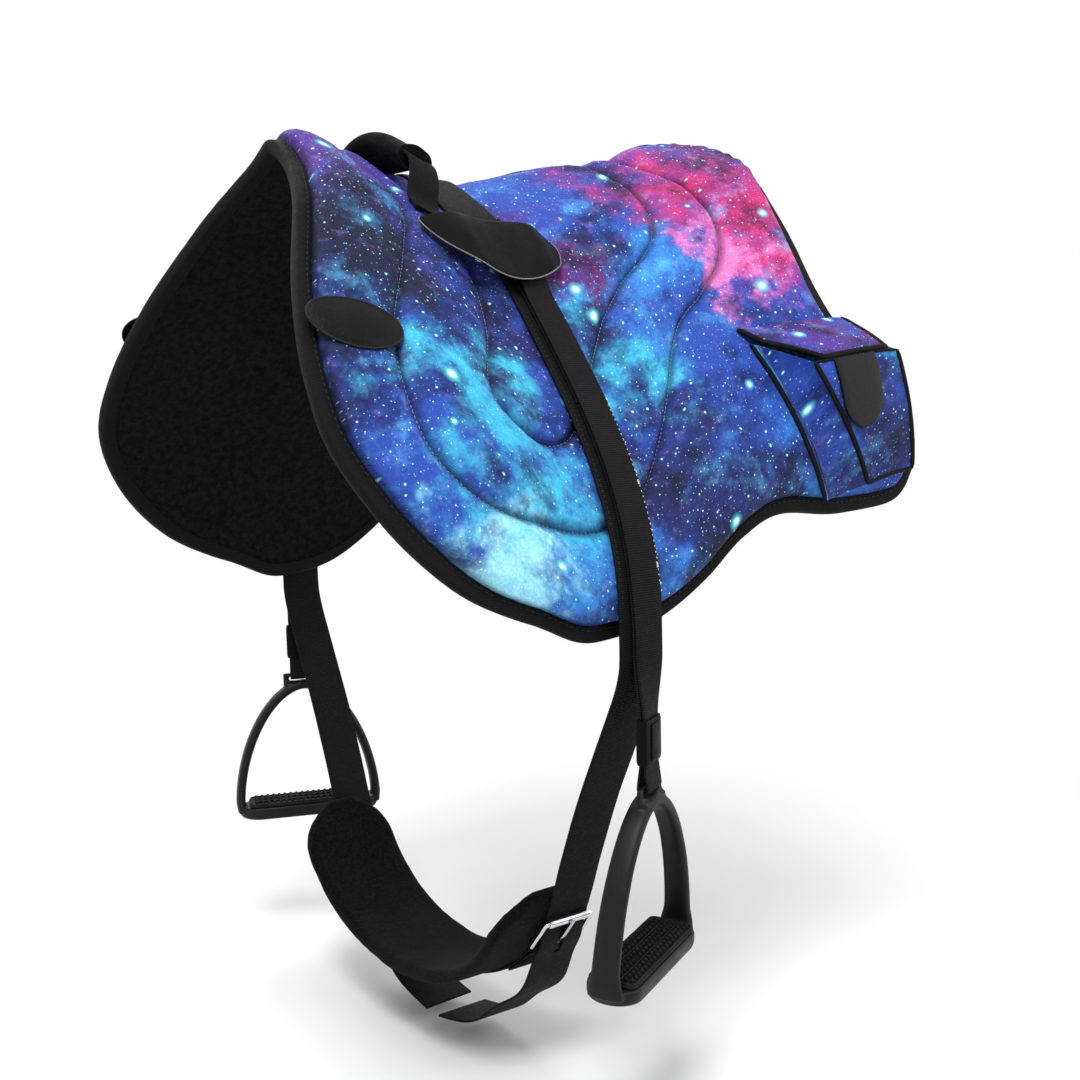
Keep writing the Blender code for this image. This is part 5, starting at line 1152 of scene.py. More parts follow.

# %% [markdown]
# The lower run of each stirrup strap hangs straight down and turns, so that the stirrup faces the foot. It
# passes through the stirrup's eye and comes back up, and a stitched keeper holds the two runs together. The
# strap is one piece from the ring to the eye and back, as the real one is, though it crosses two bodies: its
# shape is blended from the run on the pad to the hanging run where it bends over the pad's edge.

# %% Hanging straps and keepers
HANG, TWIST, PLY = 0.141, math.radians(24), 0.00155
KEEPER_TOP, KEEPER_END, KEEPER_WALL = HANG - 0.056, HANG - 0.020, 0.0022
TAB_WIDTH, TAB_THICK, TAB_SEAM = 0.015, 0.0024, -0.0055


def bend_place(side):
    """Where the stirrup strap leaves the pad."""
    return spot(on_straps, STRAP_X, side * BEND_S, (INNER_H + OUTER_H) / 2 + 0.0026)


def hang_ways(side, drop):
    """Rearward and outward directions of the hanging strap at a depth."""
    turn = TWIST * ease((drop - HANG * 0.22) / (KEEPER_TOP - HANG * 0.22))
    rear = np.stack([np.cos(turn), -side * np.sin(turn), 0 * turn], axis=-1)
    out = np.stack([np.sin(turn), side * np.cos(turn), 0 * turn], axis=-1)
    return rear, out


def hanging(side):
    """A place function for the hanging strap: across, down and outward."""
    home = bend_place(side)

    def place(across, drop, out_by):
        rear, out = hang_ways(side, np.asarray(drop, float))
        across, out_by = np.asarray(across)[:, None], np.asarray(out_by)[:, None]
        return home + rear * across + out * out_by - np.outer(drop, (0, 0, 1))

    return place


def keeper(word, side):
    """Sleeve round both runs, with softly swollen walls and a sewn tab on its outer face."""
    place, body = hanging(side), "hanging_strap_" + word
    wide, deep = STRAP_WIDTH / 2 + 0.0003, PLY + WEB_THIN / 2 + 0.0003
    turns = np.radians(np.linspace(0, 360, 49)[:-1])
    reach = (abs(np.cos(turns)) ** 6 + abs(np.sin(turns)) ** 6) ** (-1 / 6)
    walls = [(KEEPER_END - 0.0002, 0), (KEEPER_TOP + 0.0002, 0)]
    walls += [(drop, 1) for drop in np.linspace(KEEPER_TOP, KEEPER_END, 13)]
    rings = []
    for drop, wall in walls:
        share = (drop - KEEPER_TOP) / (KEEPER_END - KEEPER_TOP)
        soft = min(max(min(share, 1 - share) * 13, 0), 1)
        grow = wall * KEEPER_WALL * (0.72 + 0.28 * soft ** 0.5)
        rings.append(place((wide + grow) * reach * np.cos(turns), np.full(len(turns), drop),
                           (deep + grow) * reach * np.sin(turns)))
    sleeve = build("keeper_sleeve_" + word, np.concatenate(rings), rings_to_faces(48, len(rings), closed=True),
                   MATT_VINYL, body)
    dress(sleeve, "vinyl", "strap_keeper_" + word)
    top = deep + KEEPER_WALL
    path = eased(evenly([(KEEPER_TOP + 0.004, top), (KEEPER_END - 0.003, top)], 0.001), 2)
    tab = band("keeper_tab_" + word, path, TAB_WIDTH, TAB_THICK, place, MATT_VINYL, body, ripple_size=0.0001)
    seam = np.array([spot(place, TAB_SEAM, drop, top + 0.0013)
                     for drop in (KEEPER_TOP + 0.007, KEEPER_END - 0.006)])
    stitch_row("keeper_thread_" + word, [seam], body, BLACK_THREAD, pitch=0.0034)


def stirrup_strap(word, side):
    """One band of webbing: round the ring's bar, down the billet, off the pad and through the eye."""
    middle, place_low, bend = (INNER_H + OUTER_H) / 2, hanging(side), 0.022
    bow = (BOW_S, INNER_H + BOW_LOOP - middle)

    def place(across, run, out):
        share = ease((run - BEND_S + bend) / (2 * bend))[:, None]
        on_pad = on_straps(STRAP_X + across, side * np.minimum(run, BEND_S + bend), out + middle)
        return on_pad * (1 - share) + place_low(across, run - BEND_S, out) * share

    path = [(0.30, -PLY), (BOW_S, -PLY)] + turn_about(bow, BOW_LOOP, 270, 90)
    path += [(BOW_S + 3 * BOW_LOOP, bow[1] + 0.85 * BOW_LOOP), (BOW_S + 9 * BOW_LOOP, PLY)]
    path += [(BEND_S + KEEPER_END, PLY)] + turn_about((BEND_S + HANG, 0.0), 0.0044, 90, -90)
    path += [(BEND_S + KEEPER_END, -PLY), (0.3015, -PLY)]
    thing = band("stirrup_strap_woven_" + word, eased(evenly(path, 0.002), 3), STRAP_WIDTH, WEB_THIN, place,
                 WEBBING, None, ripple_size=0.0004)
    dress(thing, "webbing", "stirrup_strap_upper_" + word, "stirrup_strap_lower_" + word)
    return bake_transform(thing, "hanger_" + word, "hanging_strap_" + word,
                    start=spot(place, 0.0, BEND_S - bend, 0.0), end=spot(place, 0.0, BEND_S + bend, 0.0))


for word, side in SIDES:
    stirrup_strap(word, side)
    keeper(word, side)
print("hanging straps and keepers made; bend at", bend_place(-1).round(4))

# %% [markdown]
# The webbing is held by bar-tacks: short, dense zigzags of thread where the load is. Long rows run along
# both edges of the billet, where it is sewn to the pad. They use the same capsules as the quilting, at
# other pitches: dense where the load is, and longer along the edges.

# %% Thread on the straps
def tack(x, s, h, width, side):
    """Path of a bar-tack: a tight zigzag of 24 points across a strap."""
    steps = np.linspace(-width / 2, width / 2, 24)
    zigzag = np.where(np.arange(24) % 2, 0.5, -0.5) * 0.0048
    return on_straps(x + steps, side * (s + zigzag), h)


for word, side in SIDES:
    runs = []
    for edge in (-1, 1):
        x = BILLET_X + edge * (BILLET_WIDTH / 2 - 0.003)
        places = np.linspace(0.21, 0.47, 60)
        runs.append(on_straps(np.full(60, x), side * places, BILLET_TOP + 0.0003))
    stitch_row("billet_thread_" + word, runs, "pad", BLACK_THREAD, pitch=0.0045)
    rear_edge = np.linspace(0.30, 0.455, 40)
    on_edge = [on_straps(np.full(40, BILLET_X + BILLET_WIDTH / 2 - 0.0012), side * rear_edge,
                         BILLET_TOP + 0.0001)]
    stitch_row("billet_white_thread_" + word, on_edge, "pad", WHITE_THREAD, pitch=0.0046, share=0.4,
               thick=0.00035)
    tacks = [tack(BILLET_X + 0.0175, s, BILLET_TOP + 0.0003, 0.007, side) for s in (0.372, 0.440)]
    stitch_row("billet_tacks_" + word, tacks, "pad", WHITE_THREAD, pitch=0.0016, share=0.9)
    loop_end = [on_straps(BACK_X + np.linspace(-0.024, 0.024, 16), side * 0.1015, BACK_H + 0.0042)]
    stitch_row("back_strap_white_thread_" + word, loop_end, "pad", WHITE_THREAD, pitch=0.0034)
print("bar-tacks done")

# %% [markdown]
# The oval flap over the ring is coated cloth, cut with a raw edge that shows pale. It keeps the ring off
# the leg. It is a dome over the ring, pointed in front and round behind, made from rings of corners that
# grow from its middle; a grid trimmed to an oval would leave a stepped edge. It rides on its own body,
# because it lifts with the ring. The oval patch in front is left blank.

# %% Ring covers and the blank patch
COVER_X, COVER_TOP_S, COVER_LENGTH, COVER_HEIGHT, COVER_THICK = -0.0225, 0.098, 0.140, 0.082, 0.0022
RING_HALF, RING_WIRE, RIM_H, LAP_H, PEAK_H = 0.03275, 0.0025, 0.0024, 0.0077, 0.016
PATCH_X, PATCH_S, PATCH_HALF, PATCH_TILT = -0.1968, 0.247, (0.0385, 0.022), 24
under_cover = smooth_through(
    [COVER_TOP_S, COVER_TOP_S + 4 * RING_WIRE, BOW_S - 4 * RING_WIRE, COVER_TOP_S + COVER_HEIGHT],
    [LAP_H, PEAK_H - RING_WIRE, PEAK_H, PEAK_H])


def cover_place(turn, share):
    """A place on the ring cover, in x and s: share 0 is its middle and 1 its edge."""
    u, v = math.cos(turn), math.sin(turn)
    front = max(-u, 0)
    v *= 1 - 0.42 * front ** 2.5
    v -= 0.22 * front ** 2
    v += max(-v, 0) * (0.18 + 0.12 * math.exp(-((u - 0.05) / 0.4) ** 2))
    return (COVER_X + share * COVER_LENGTH / 2 * u,
            COVER_TOP_S + COVER_HEIGHT / 2 + share * COVER_HEIGHT / 2 * v)


def cover_height(x, s):
    """Height of the cover's underside."""
    from_ring = x - BACK_X
    over = RING_HALF + 2 * RING_WIRE
    tip = abs(COVER_X + math.copysign(COVER_LENGTH / 2, from_ring) - BACK_X)
    fade = ease((abs(from_ring) - over) / (tip - over))
    return float(under_cover(s)) * (1 - fade) + RIM_H * fade


def ring_cover(word, side):
    """The flap as a closed domed shell with a round edge, and its pale raw edge."""
    turns = circle(96)
    sheet = [(share, 0.0) for share in np.linspace(0.04, 0.985, 14)] + [(0.997, 0.2), (1.0, 0.5), (0.997, 0.8)]
    sheet += [(share, 1.0) for share in np.linspace(0.985, 0.04, 14)]
    rings = []
    for share, lift in sheet:
        spots = [cover_place(t, share) for t in turns]
        rings += [(x, side * s, cover_height(x, s) + COVER_THICK * lift) for x, s in spots]
    rings = np.array(rings)
    rings[:, 2] += 0.0006 * ripple(rings, 0.03, 2.0) * (rings[:, 2] > 0.004)
    flap = build("ring_flap_vinyl_" + word, HORSE.at(*rings.T), rings_to_faces(96, len(sheet)), MATT_VINYL,
                 "ring_flap_" + word, sharp=80)
    dress(store_lay(flap), "vinyl", "ring_cover_" + word)
    low = [cover_place(t, 0.999) for t in np.linspace(-0.25, math.pi + 0.25, 60)]
    edge = np.array([(x, side * s, cover_height(x, s) + COVER_THICK * 0.75) for x, s in low])
    piping("ring_flap_edge_" + word, HORSE.at(*edge.T), 0.00055, "ring_flap_" + word, PALE_EDGE)


def patch_rim(word, side):
    """Rim of the oval patch, overlocked in grey thread."""
    tilt, loop = math.radians(PATCH_TILT), []
    for a in np.linspace(0, 2 * math.pi, 73)[:-1]:
        u, v = PATCH_HALF[0] * math.cos(a), PATCH_HALF[1] * math.sin(a)
        loop.append((PATCH_X + u * math.cos(tilt) - v * math.sin(tilt),
                     side * (PATCH_S + u * math.sin(tilt) + v * math.cos(tilt)), 0.0013))
    piping("patch_rim_" + word, HORSE.at(*np.array(loop).T), 0.0008, "pad", GREY_TAPE, closed=True)


for word, side in SIDES:
    ring_cover(word, side)
    soft_copy("name_patch_" + word, "blank_patch_" + word, GLOSS_VINYL, "pad", "vinyl", edge=0.0004)
    patch_rim(word, side)
print("ring covers and patches")

# %% [markdown]
# The grab handle is webbing that arches over the withers inside a padded sleeve. The sleeve is a loft of
# ovals whose cut ends flare a little. The girth is thick felt, and its solid is right in form but too
# clean: it is remeshed into even small faces, smoothed and given soft dents. Sculpting could do that too,
# but numbers do it the same way each time.

# %% Handle and girth
HANDLE_X, HANDLE_WIDTH, HANDLE_THICK, GRIP_HALF = -0.066, 0.030, 0.003, 0.052
GRIP_WIDE, GRIP_TALL = 0.017, 0.0095  # half sizes of the sleeve
HANDLE_FALL = [(0.0620, 0.0262), (0.0690, 0.0225), (0.0755, 0.0165), (0.0805, 0.0100), (0.0845, 0.0050),
               (0.0885, 0.0023), (0.104, 0.0021)]  # s and height of the webbing down to its foot
handle_rise = smooth_through([0, 0.033, 0.066], [0.0185, 0.0213, 0.030])


def handle_place(across, s, h):
    """A place function for the handle, right over the pad's face."""
    return HORSE.at(HANDLE_X + across, s, h)


def handle():
    """Webbing from foot to foot and the sleeve round its middle."""
    half = [(s, float(handle_rise(s))) for s in np.linspace(0, 0.054, 26)] + HANDLE_FALL
    half = eased(evenly(half, 0.0015), 3)
    whole = np.concatenate([half[:0:-1] * (-1, 1), half])
    strap = band("handle_strap_woven", whole, HANDLE_WIDTH, HANDLE_THICK, handle_place, WEBBING, "pad")
    dress(strap, "webbing", "handle_strap")
    turns = np.radians(np.linspace(0, 360, 33)[:-1])
    rings = []
    stations = [(s, 1) for s in np.linspace(-GRIP_HALF, GRIP_HALF, 48)]
    stations += [(s, 0) for s in (GRIP_HALF + 0.0003, -GRIP_HALF - 0.0003)]
    for s, skin in stations:
        flare = 1 + 0.05 * math.exp(-(GRIP_HALF - abs(s)) / 0.004)
        wide, tall = (GRIP_WIDE * flare, GRIP_TALL * flare) if skin else (HANDLE_WIDTH / 2 + 0.0006, 0.0022)
        slope = float(handle_rise(abs(s) + 0.001) - handle_rise(abs(s))) / 0.001 * np.sign(s)
        ring = [(wide * math.cos(a), s - tall * math.sin(a) * slope, float(handle_rise(abs(s)))
                 + tall * math.sin(a)) for a in turns]
        rings.append(ring)
    ring = np.array(rings).reshape(-1, 3)
    ring[:, 2] += 0.0006 * ripple(ring, 0.012) * (ring[:, 2] > handle_rise(np.minimum(abs(ring[:, 1]), 0.06)))
    grip = build("padded_grip", handle_place(*ring.T), rings_to_faces(32, len(stations), closed=True), SLEEVE,
                 "pad", sharp=50)
    dress(store_lay(grip), "black_cloth", "handle_grip")


def evened(thing, voxel, rounds):
    """Join what overlaps in a mesh into one skin of small even faces, and smooth it."""
    remesh = thing.modifiers.new("even", "REMESH")
    remesh.mode, remesh.voxel_size = "VOXEL", voxel
    soften = thing.modifiers.new("soften", "SMOOTH")
    soften.factor, soften.iterations = 0.5, rounds
    applied(thing).data.shade_smooth()
    return thing


def felted(node, name, finish, body, stock, voxel, dent, size):
    """A soft, even-meshed copy of a padded solid, dented a little all over."""
    thing = evened(set_down(name, worked(nodes[node].data.copy(), weld)), voxel, 4)
    place, normal = corners(thing), np.zeros(len(thing.data.vertices) * 3)
    thing.data.vertices.foreach_get("normal", normal)
    place += normal.reshape(-1, 3) * (dent * ripple(place, size))[:, None]
    thing.data.vertices.foreach_set("co", place.ravel())
    thing.data.materials.clear()
    thing.data.materials.append(finish)
    return dress(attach(thing, body), stock, node)


handle()
girth = felted("girth_band", "padded_girth", FELT, "pad", "girth_felt", 0.0032, 0.0007, 0.03)
print("girth:", len(girth.data.polygons), "faces")

# %% [markdown]
# Each saddlebag is a sewn shell of the printed cloth. It is lofted from its rim to its foot, with a front
# panel that bulges and sags, and black binding on the seams. A simulation of an empty bag would let it
# collapse, and this one keeps its box shape, so its sections are drawn. The lid is a separate sheet on its
# own body, because it opens.

# %% Saddlebags
BAG_TOP_S, BAG_RIM_S, BAG_FOOT_S = 0.298, 0.344, 0.456
BAG_TOP_X, BAG_FOOT_X, BAG_INSET, BAG_SKEW = (0.1788, 0.2862), (0.2052, 0.3162), 0.046, 0.2
RIM_DEPTH, FOOT_DEPTH, BAG_WALL, SEAT = 0.040, 0.008, 0.0014, 0.0007


def bag_place(side, x, s, h):
    """Points of the bag, whose top edges run down towards the rear."""
    fade = 1 - np.clip((s - BAG_TOP_S) / (BAG_FOOT_S - BAG_TOP_S), 0, 1)
    return HORSE.at(x, side * (s + BAG_SKEW * (x - BAG_TOP_X[0]) * fade), h)


def panel_depth(s):
    """Height of the bag's front panel over the pad."""
    return RIM_DEPTH + (FOOT_DEPTH - RIM_DEPTH) * np.clip((s - BAG_RIM_S) / (BAG_FOOT_S - BAG_RIM_S), 0, 1)


def bag_corner(down, wall, share_x, panel):
    """One of the four main lines of the bag: on the pad or on the panel, front (0) to rear (1)."""
    top = BAG_RIM_S if panel else BAG_TOP_S
    s = top + (BAG_FOOT_S - top) * down
    share = (s - BAG_TOP_S) / (BAG_FOOT_S - BAG_TOP_S)
    height = panel_depth(s) - wall if panel else wall
    front_lean = BAG_INSET * share / panel_depth(s)
    rear_lean = front_lean * 0.15
    front = BAG_TOP_X[0] + (BAG_FOOT_X[0] - BAG_TOP_X[0]) * share
    rear = BAG_TOP_X[1] + (BAG_FOOT_X[1] - BAG_TOP_X[1]) * share
    front += front_lean * height + wall * math.hypot(1, front_lean)
    rear -= rear_lean * height + wall * math.hypot(1, rear_lean)
    return np.array([front + (rear - front) * share_x, s, height + SEAT])


def bag_section(down, wall):
    """Corners round the bag at a share of the way down, in x, s and h."""
    ring = [bag_corner(down, wall, t, False) for t in np.linspace(0, 1, 13)]
    side_steps = np.linspace(0, 1, 7)[1:-1]
    rear = [bag_corner(down, wall, 1, False), bag_corner(down, wall, 1, True)]
    ring += [rear[0] + (rear[1] - rear[0]) * t for t in side_steps]
    bulge = 0.004 * math.sin(math.pi * min(down * 1.15, 1)) * (wall == 0)
    for t in np.linspace(1, 0, 19):
        point = bag_corner(down, wall, t, True)
        point[2] += bulge * math.sin(math.pi * t)
        ring.append(point)
    front = [bag_corner(down, wall, 0, True), bag_corner(down, wall, 0, False)]
    return ring + [front[0] + (front[1] - front[0]) * t for t in side_steps]


def make_bag(word, side):
    """The open shell of a bag, with soft creases on its panel."""
    ways = np.linspace(1, 0, 22)
    sections = [bag_section(way, 0) for way in ways]
    sections += [bag_section(way, BAG_WALL) for way in list(ways[:0:-1]) + [0.94]]
    ring = np.array(sections).reshape(-1, 3)
    crease = ripple(ring * np.array([1, side, 1]), 0.018, 4.0) + 0.6 * ripple(ring, 0.008, 9.0)
    loose = ease((ring[:, 2] - SEAT - 0.004) / 0.010)
    ring[:, 2] += 0.0009 * crease * loose
    points = bag_place(side, ring[:, 0], ring[:, 1], ring[:, 2])
    thing = build("bag_shell_" + word, points, rings_to_faces(len(sections[0]), len(sections)), PRINT, "pad",
                  sharp=50)
    around = np.array(sections).reshape(len(sections), -1, 3)
    steps = np.linalg.norm(np.diff(around, axis=1), axis=2)
    run = np.concatenate([np.zeros((len(sections), 1)), np.cumsum(steps, axis=1)], axis=1)
    lay = np.column_stack([run.ravel() - 0.10, side * (around[:, :, 1].ravel() - 0.04), 0 * run.ravel()])
    lay_by_place(thing, points, lay)
    dress(thing, "printed_cloth", "bag_body_" + word)
    return thing


def bound(name, side, line, radius, lift=0.0):
    """Black binding along a line of the bag."""
    line = np.array(line)
    line[:, 2] += lift
    return piping(name, bag_place(side, *line.T), radius, "pad", TAPE)


DOWN, ACROSS = np.linspace(0, 1, 24), np.linspace(0, 1, 20)
for word, side in SIDES:
    make_bag(word, side)
    for label, share_x in (("front", 0), ("rear", 1)):
        on_panel, on_pad = ([bag_corner(way, 0, share_x, panel) for way in DOWN] for panel in (True, False))
        bound(f"bag_binding_{label}_{word}", side, on_panel, 0.0023)
        bound(f"bag_base_{label}_{word}", side, on_pad, 0.0022, 0.0012)
    bound("bag_rim_" + word, side, [bag_corner(0, 0, way, True) for way in ACROSS], 0.0014)
    bound("bag_foot_" + word, side, [bag_corner(1, 0, way, True) for way in ACROSS], 0.0020)
    soft_copy("bag_fastener_" + word, "hook_patch_" + word, FELT, "pad", "webbing", edge=0.0003)
print("bags sewn")

# %% [markdown]
# The lid droops a little between its corners and is bound in black along its free edge. The vinyl tab hangs
# from it and shines. The lid is drawn as a grid between hinge and free edge, with a little sag and a few
# wrinkles that start away from the hinge, where the seam holds it straight.

# %% Bag lids and tabs
HINGE_S, LID_X, LID_CORNER, LID_LIP, LID_THICK = 0.281, (0.174, 0.291), 0.011, 0.003, 0.0020


def lid_point(across, out, lift):
    """A place on the lid: across from front (0) to rear (1), out from hinge (0) to free edge (1)."""
    x = LID_X[0] + (LID_X[1] - LID_X[0]) * across
    reach = min(across / 0.28, 1)
    edge_x = x + LID_CORNER * (1 - 2 * across)
    far_s = HINGE_S + 2 * LID_CORNER + (BAG_RIM_S - LID_LIP - HINGE_S - 2 * LID_CORNER) * reach
    far_h = LID_CORNER + (RIM_DEPTH + SEAT + LID_THICK / 2 - LID_CORNER) * reach
    hinge = np.array([x, HINGE_S, SEAT + LID_THICK / 2])
    place = hinge + (np.array([edge_x, far_s, far_h]) - hinge) * out
    place[2] += lift + 0.0022 * math.sin(math.pi * out) * math.sin(math.pi * across)
    return place


def make_lid(word, side):
    """The lid as a thin closed sheet, with its bound edge."""
    wide, deep = 40, 16
    grid = [[(a / wide, b / deep) for b in range(deep + 1)] for a in range(wide + 1)]
    points, faces = [], []
    for lift in (-LID_THICK / 2, LID_THICK / 2):
        flat = np.array([lid_point(a, b, lift) for row in grid for a, b in row])
        wrinkle = 0.0009 * ripple(flat * np.array([1, side, 1]), 0.020, 6.0)
        flat[:, 2] += wrinkle * ease(np.tile(np.arange(deep + 1) / deep, wide + 1) * 3)
        points.append(bag_place(side, *flat.T))
    size = len(points[0])
    row = deep + 1
    for a in range(wide):
        for b in range(deep):
            n = a * row + b
            faces += [(n, n + 1, n + row + 1, n + row), (size + n, size + n + row, size + n + row + 1,
                                                         size + n + 1)]
    rim = [a * row for a in range(wide + 1)] + [wide * row + b for b in range(1, row)]
    rim += [a * row + deep for a in range(wide - 1, -1, -1)] + [b for b in range(deep - 1, 0, -1)]
    faces += [(n, size + n, size + m, m) for n, m in zip(rim, rim[1:] + rim[:1])]
    lid = build("bag_lid_cloth_" + word, np.concatenate(points), faces, PRINT, "bag_lid_" + word, sharp=60)
    store_lay(lid, HORSE.lay(corners(lid)) + np.array([-0.23, -side * 0.20, 0]))
    dress(lid, "printed_cloth", "bag_flap_" + word)
    border = [(0, t) for t in np.linspace(0, 1, 8)] + [(t, 1) for t in np.linspace(0, 1, 32)[1:]]
    border += [(1, t) for t in np.linspace(1, 0, 10)[1:]]
    line = np.array([lid_point(a, b, 0) for a, b in border])
    piping("bag_lid_binding_" + word, bag_place(side, *line.T), 0.0025, "bag_lid_" + word, TAPE)


for word, side in SIDES:
    make_lid(word, side)
    soft_copy("bag_tab_" + word, "bag_tab_vinyl_" + word, GLOSS_VINYL, "bag_lid_" + word, "vinyl",
              edge=0.0007, smooth=1)
print("lids and tabs")

# %% [markdown]
# The stirrup iron is one plastic moulding. Its legs, broad shoulders, eye and tray are simple closed forms
# that overlap; a fine remesh joins them into one skin and smoothing rounds them into each other, as the
# mould does. It could be built face by face instead, but the blends where legs meet tray are hard to draw
# by hand. The tread is a rubber mat with a rim, two ribs and rows of small studs.

# %% Stirrups and treads
BASE_TOP, ARCH_HALF, ARCH_RISE, ARCH_POWER = -0.1426, 0.075, 0.1315, 1.8
LEG_THICK, LEG_DEPTH, TRAY_THICK, TRAY_DEPTH, TRAY_HALF = 0.010, 0.019, 0.013, 0.046, 0.0765
SLOT_HALF, EYE_WALL, EYE_BAR, EYE_LOW, EYE_FOOT, POST_HALF = 0.016, 0.006, 0.0021, -0.0065, -0.0125, 0.003
FINE, COARSE = 0.00115, 0.0026  # widths of the faces of the joined iron, in the full and the quick scene
MAT_HALF, MAT_HALF_DEPTH, MAT_FACE = 0.0655, 0.0208, 0.002  # face: height over the mat's floor
MAT_EDGE = ((0, 0.99), (0.0004, 1), (0.0022, 1), (0.0026, 0.99))  # height, share of size
MAT_RIM = ((0, 0.002), (0, 0.0038), (0.0004, 0.0042), (0.0014, 0.0042), (0.0018, 0.0038), (0.0018, 0.002))
RIM_CORE, RIBS, RIB_HALF, RIB_TOP = (0.0585, 0.0138), (-0.0064, 0.0064), (0.0600, 0.0006), 0.0046
STUD = ((0.0021, 0.002), (0.0017, 0.0048), (0.0013, 0.0058), (0.0007, 0.0061))  # radius, height
STUD_LANES, STUD_ROWS, STUD_REACH, STUDS_IN_ROW = (-0.0127, 0.0, 0.0127), (-0.0026, 0.0026), 0.0575, 19


def stirrup_place(side):
    """A place function for the stirrup: rearward, outward and up from the strap's loop."""
    rear, out = hang_ways(side, np.array(HANG))
    lean, rise = math.radians(3), np.array([0.0, 0.0, 1.0])
    up = rise * math.cos(lean) + out * math.sin(lean)
    out = out * math.cos(lean) - rise * math.sin(lean)
    home = bend_place(side) - rise * HANG
    return lambda p: home + np.asarray(p) @ np.array([rear, out, up])


def rounded(half_w, half_d, corner, count=6):
    """Outline of a rounded rectangle."""
    return [(x * (half_w - corner) + corner * math.cos(math.radians(a)),
             d * (half_d - corner) + corner * math.sin(math.radians(a)))
            for x, d, first in ((1, 1, 0), (-1, 1, 90), (-1, -1, 180), (1, -1, 270))
            for a in np.linspace(first, first + 90, count)]


def slab(outline, levels):
    """Rings of a slab: the outline at each level (z, share of its size), closed at both ends."""
    rings = [[(x * size, d * size, z) for x, d in outline] for z, size in levels]
    return [p for ring in rings for p in ring], rings_to_faces(len(outline), len(rings))


def arch():
    """Rings round the arch, from one foot over the eye to the other."""
    shares = np.concatenate([np.linspace(-0.045, 0.9, 40), 1 - 0.1 * np.linspace(0.93, 0, 14) ** 2])
    half = [(ARCH_HALF * (1 - max(s, 0) ** ARCH_POWER) ** (1 / ARCH_POWER) - 0.02 * max(0.03 - s, 0),
             BASE_TOP + ARCH_RISE * s, 1 + 0.25 * (1 - s) + 0.35 * ease((0.12 - s) / 0.16)) for s in shares]
    run = half + [(-w, z, deep) for w, z, deep in half[-2::-1]]
    path = np.array([(w, z) for w, z, _ in run])
    ahead = np.gradient(path, axis=0)
    ahead /= np.linalg.norm(ahead, axis=1)[:, None]
    rings = []
    for (w, z, deep), (a, b) in zip(run, ahead):
        for t in circle(24):
            reach = (abs(math.cos(t)) ** 3 + abs(math.sin(t)) ** 3) ** (-1 / 3)
            thick = LEG_THICK / 2 * reach * math.cos(t)
            rings.append((w - b * thick, LEG_DEPTH * deep / 2 * reach * math.sin(t), z + a * thick))
    return rings, rings_to_faces(24, len(run))


def joined(pieces):
    """Points and faces of several closed forms in one list."""
    points, faces = [], []
    for some_points, some_faces in pieces:
        faces += [tuple(n + len(points) for n in face) for face in some_faces]
        points += list(some_points)
    return points, faces


def eye():
    """The eye's frame: two posts, the bar over the slot, and the shoulders under it."""
    outer = SLOT_HALF + EYE_WALL
    post = outer - POST_HALF
    box = rounded(1, 1, 0.1, 2)

    def block(x, z_low, z_high, half_w, half_d):
        return ([(x + u * half_w, v * half_d, z) for z in (z_low, z_high) for u, v in box],
                rings_to_faces(len(box), 2))

    return [block(0, -EYE_BAR, EYE_BAR, outer, EYE_BAR),
            block(post, EYE_FOOT, EYE_BAR, POST_HALF, EYE_BAR),
            block(-post, EYE_FOOT, EYE_BAR, POST_HALF, EYE_BAR),
            block(0, EYE_FOOT, EYE_LOW, outer, EYE_BAR + 0.0008),
            block(0, -0.0150, -0.0085, outer - 0.001, 0.0066)]


def stirrup(word, side):
    """One iron, joined and smoothed in its own frame and then put on its strap."""
    tray = rounded(TRAY_HALF, TRAY_DEPTH / 2, TRAY_DEPTH / 2 - 0.0005, 12)
    low = BASE_TOP - TRAY_THICK
    levels = [(low, 0.93), (low + 0.0012, 0.97), (low + 0.0035, 0.995), (BASE_TOP - 0.003, 1.0),
              (BASE_TOP - 0.0008, 0.99), (BASE_TOP, 0.97)]
    points, faces = joined([arch(), slab(tray, levels)] + eye())
    form = set_down("stirrup_form", worked(drawn("stirrup_form", points, faces), face_out))
    evened(form, FINE, 5)
    place = stirrup_place(side)
    faces = [tuple(p.vertices) for p in form.data.polygons]
    iron = build("stirrup_iron_moulded_" + word, place(corners(form)), faces, PLASTIC, "stirrup_iron_" + word,
                 sharp=80)
    bpy.data.objects.remove(form)
    return dress(iron, "plastic", "stirrup_" + word)


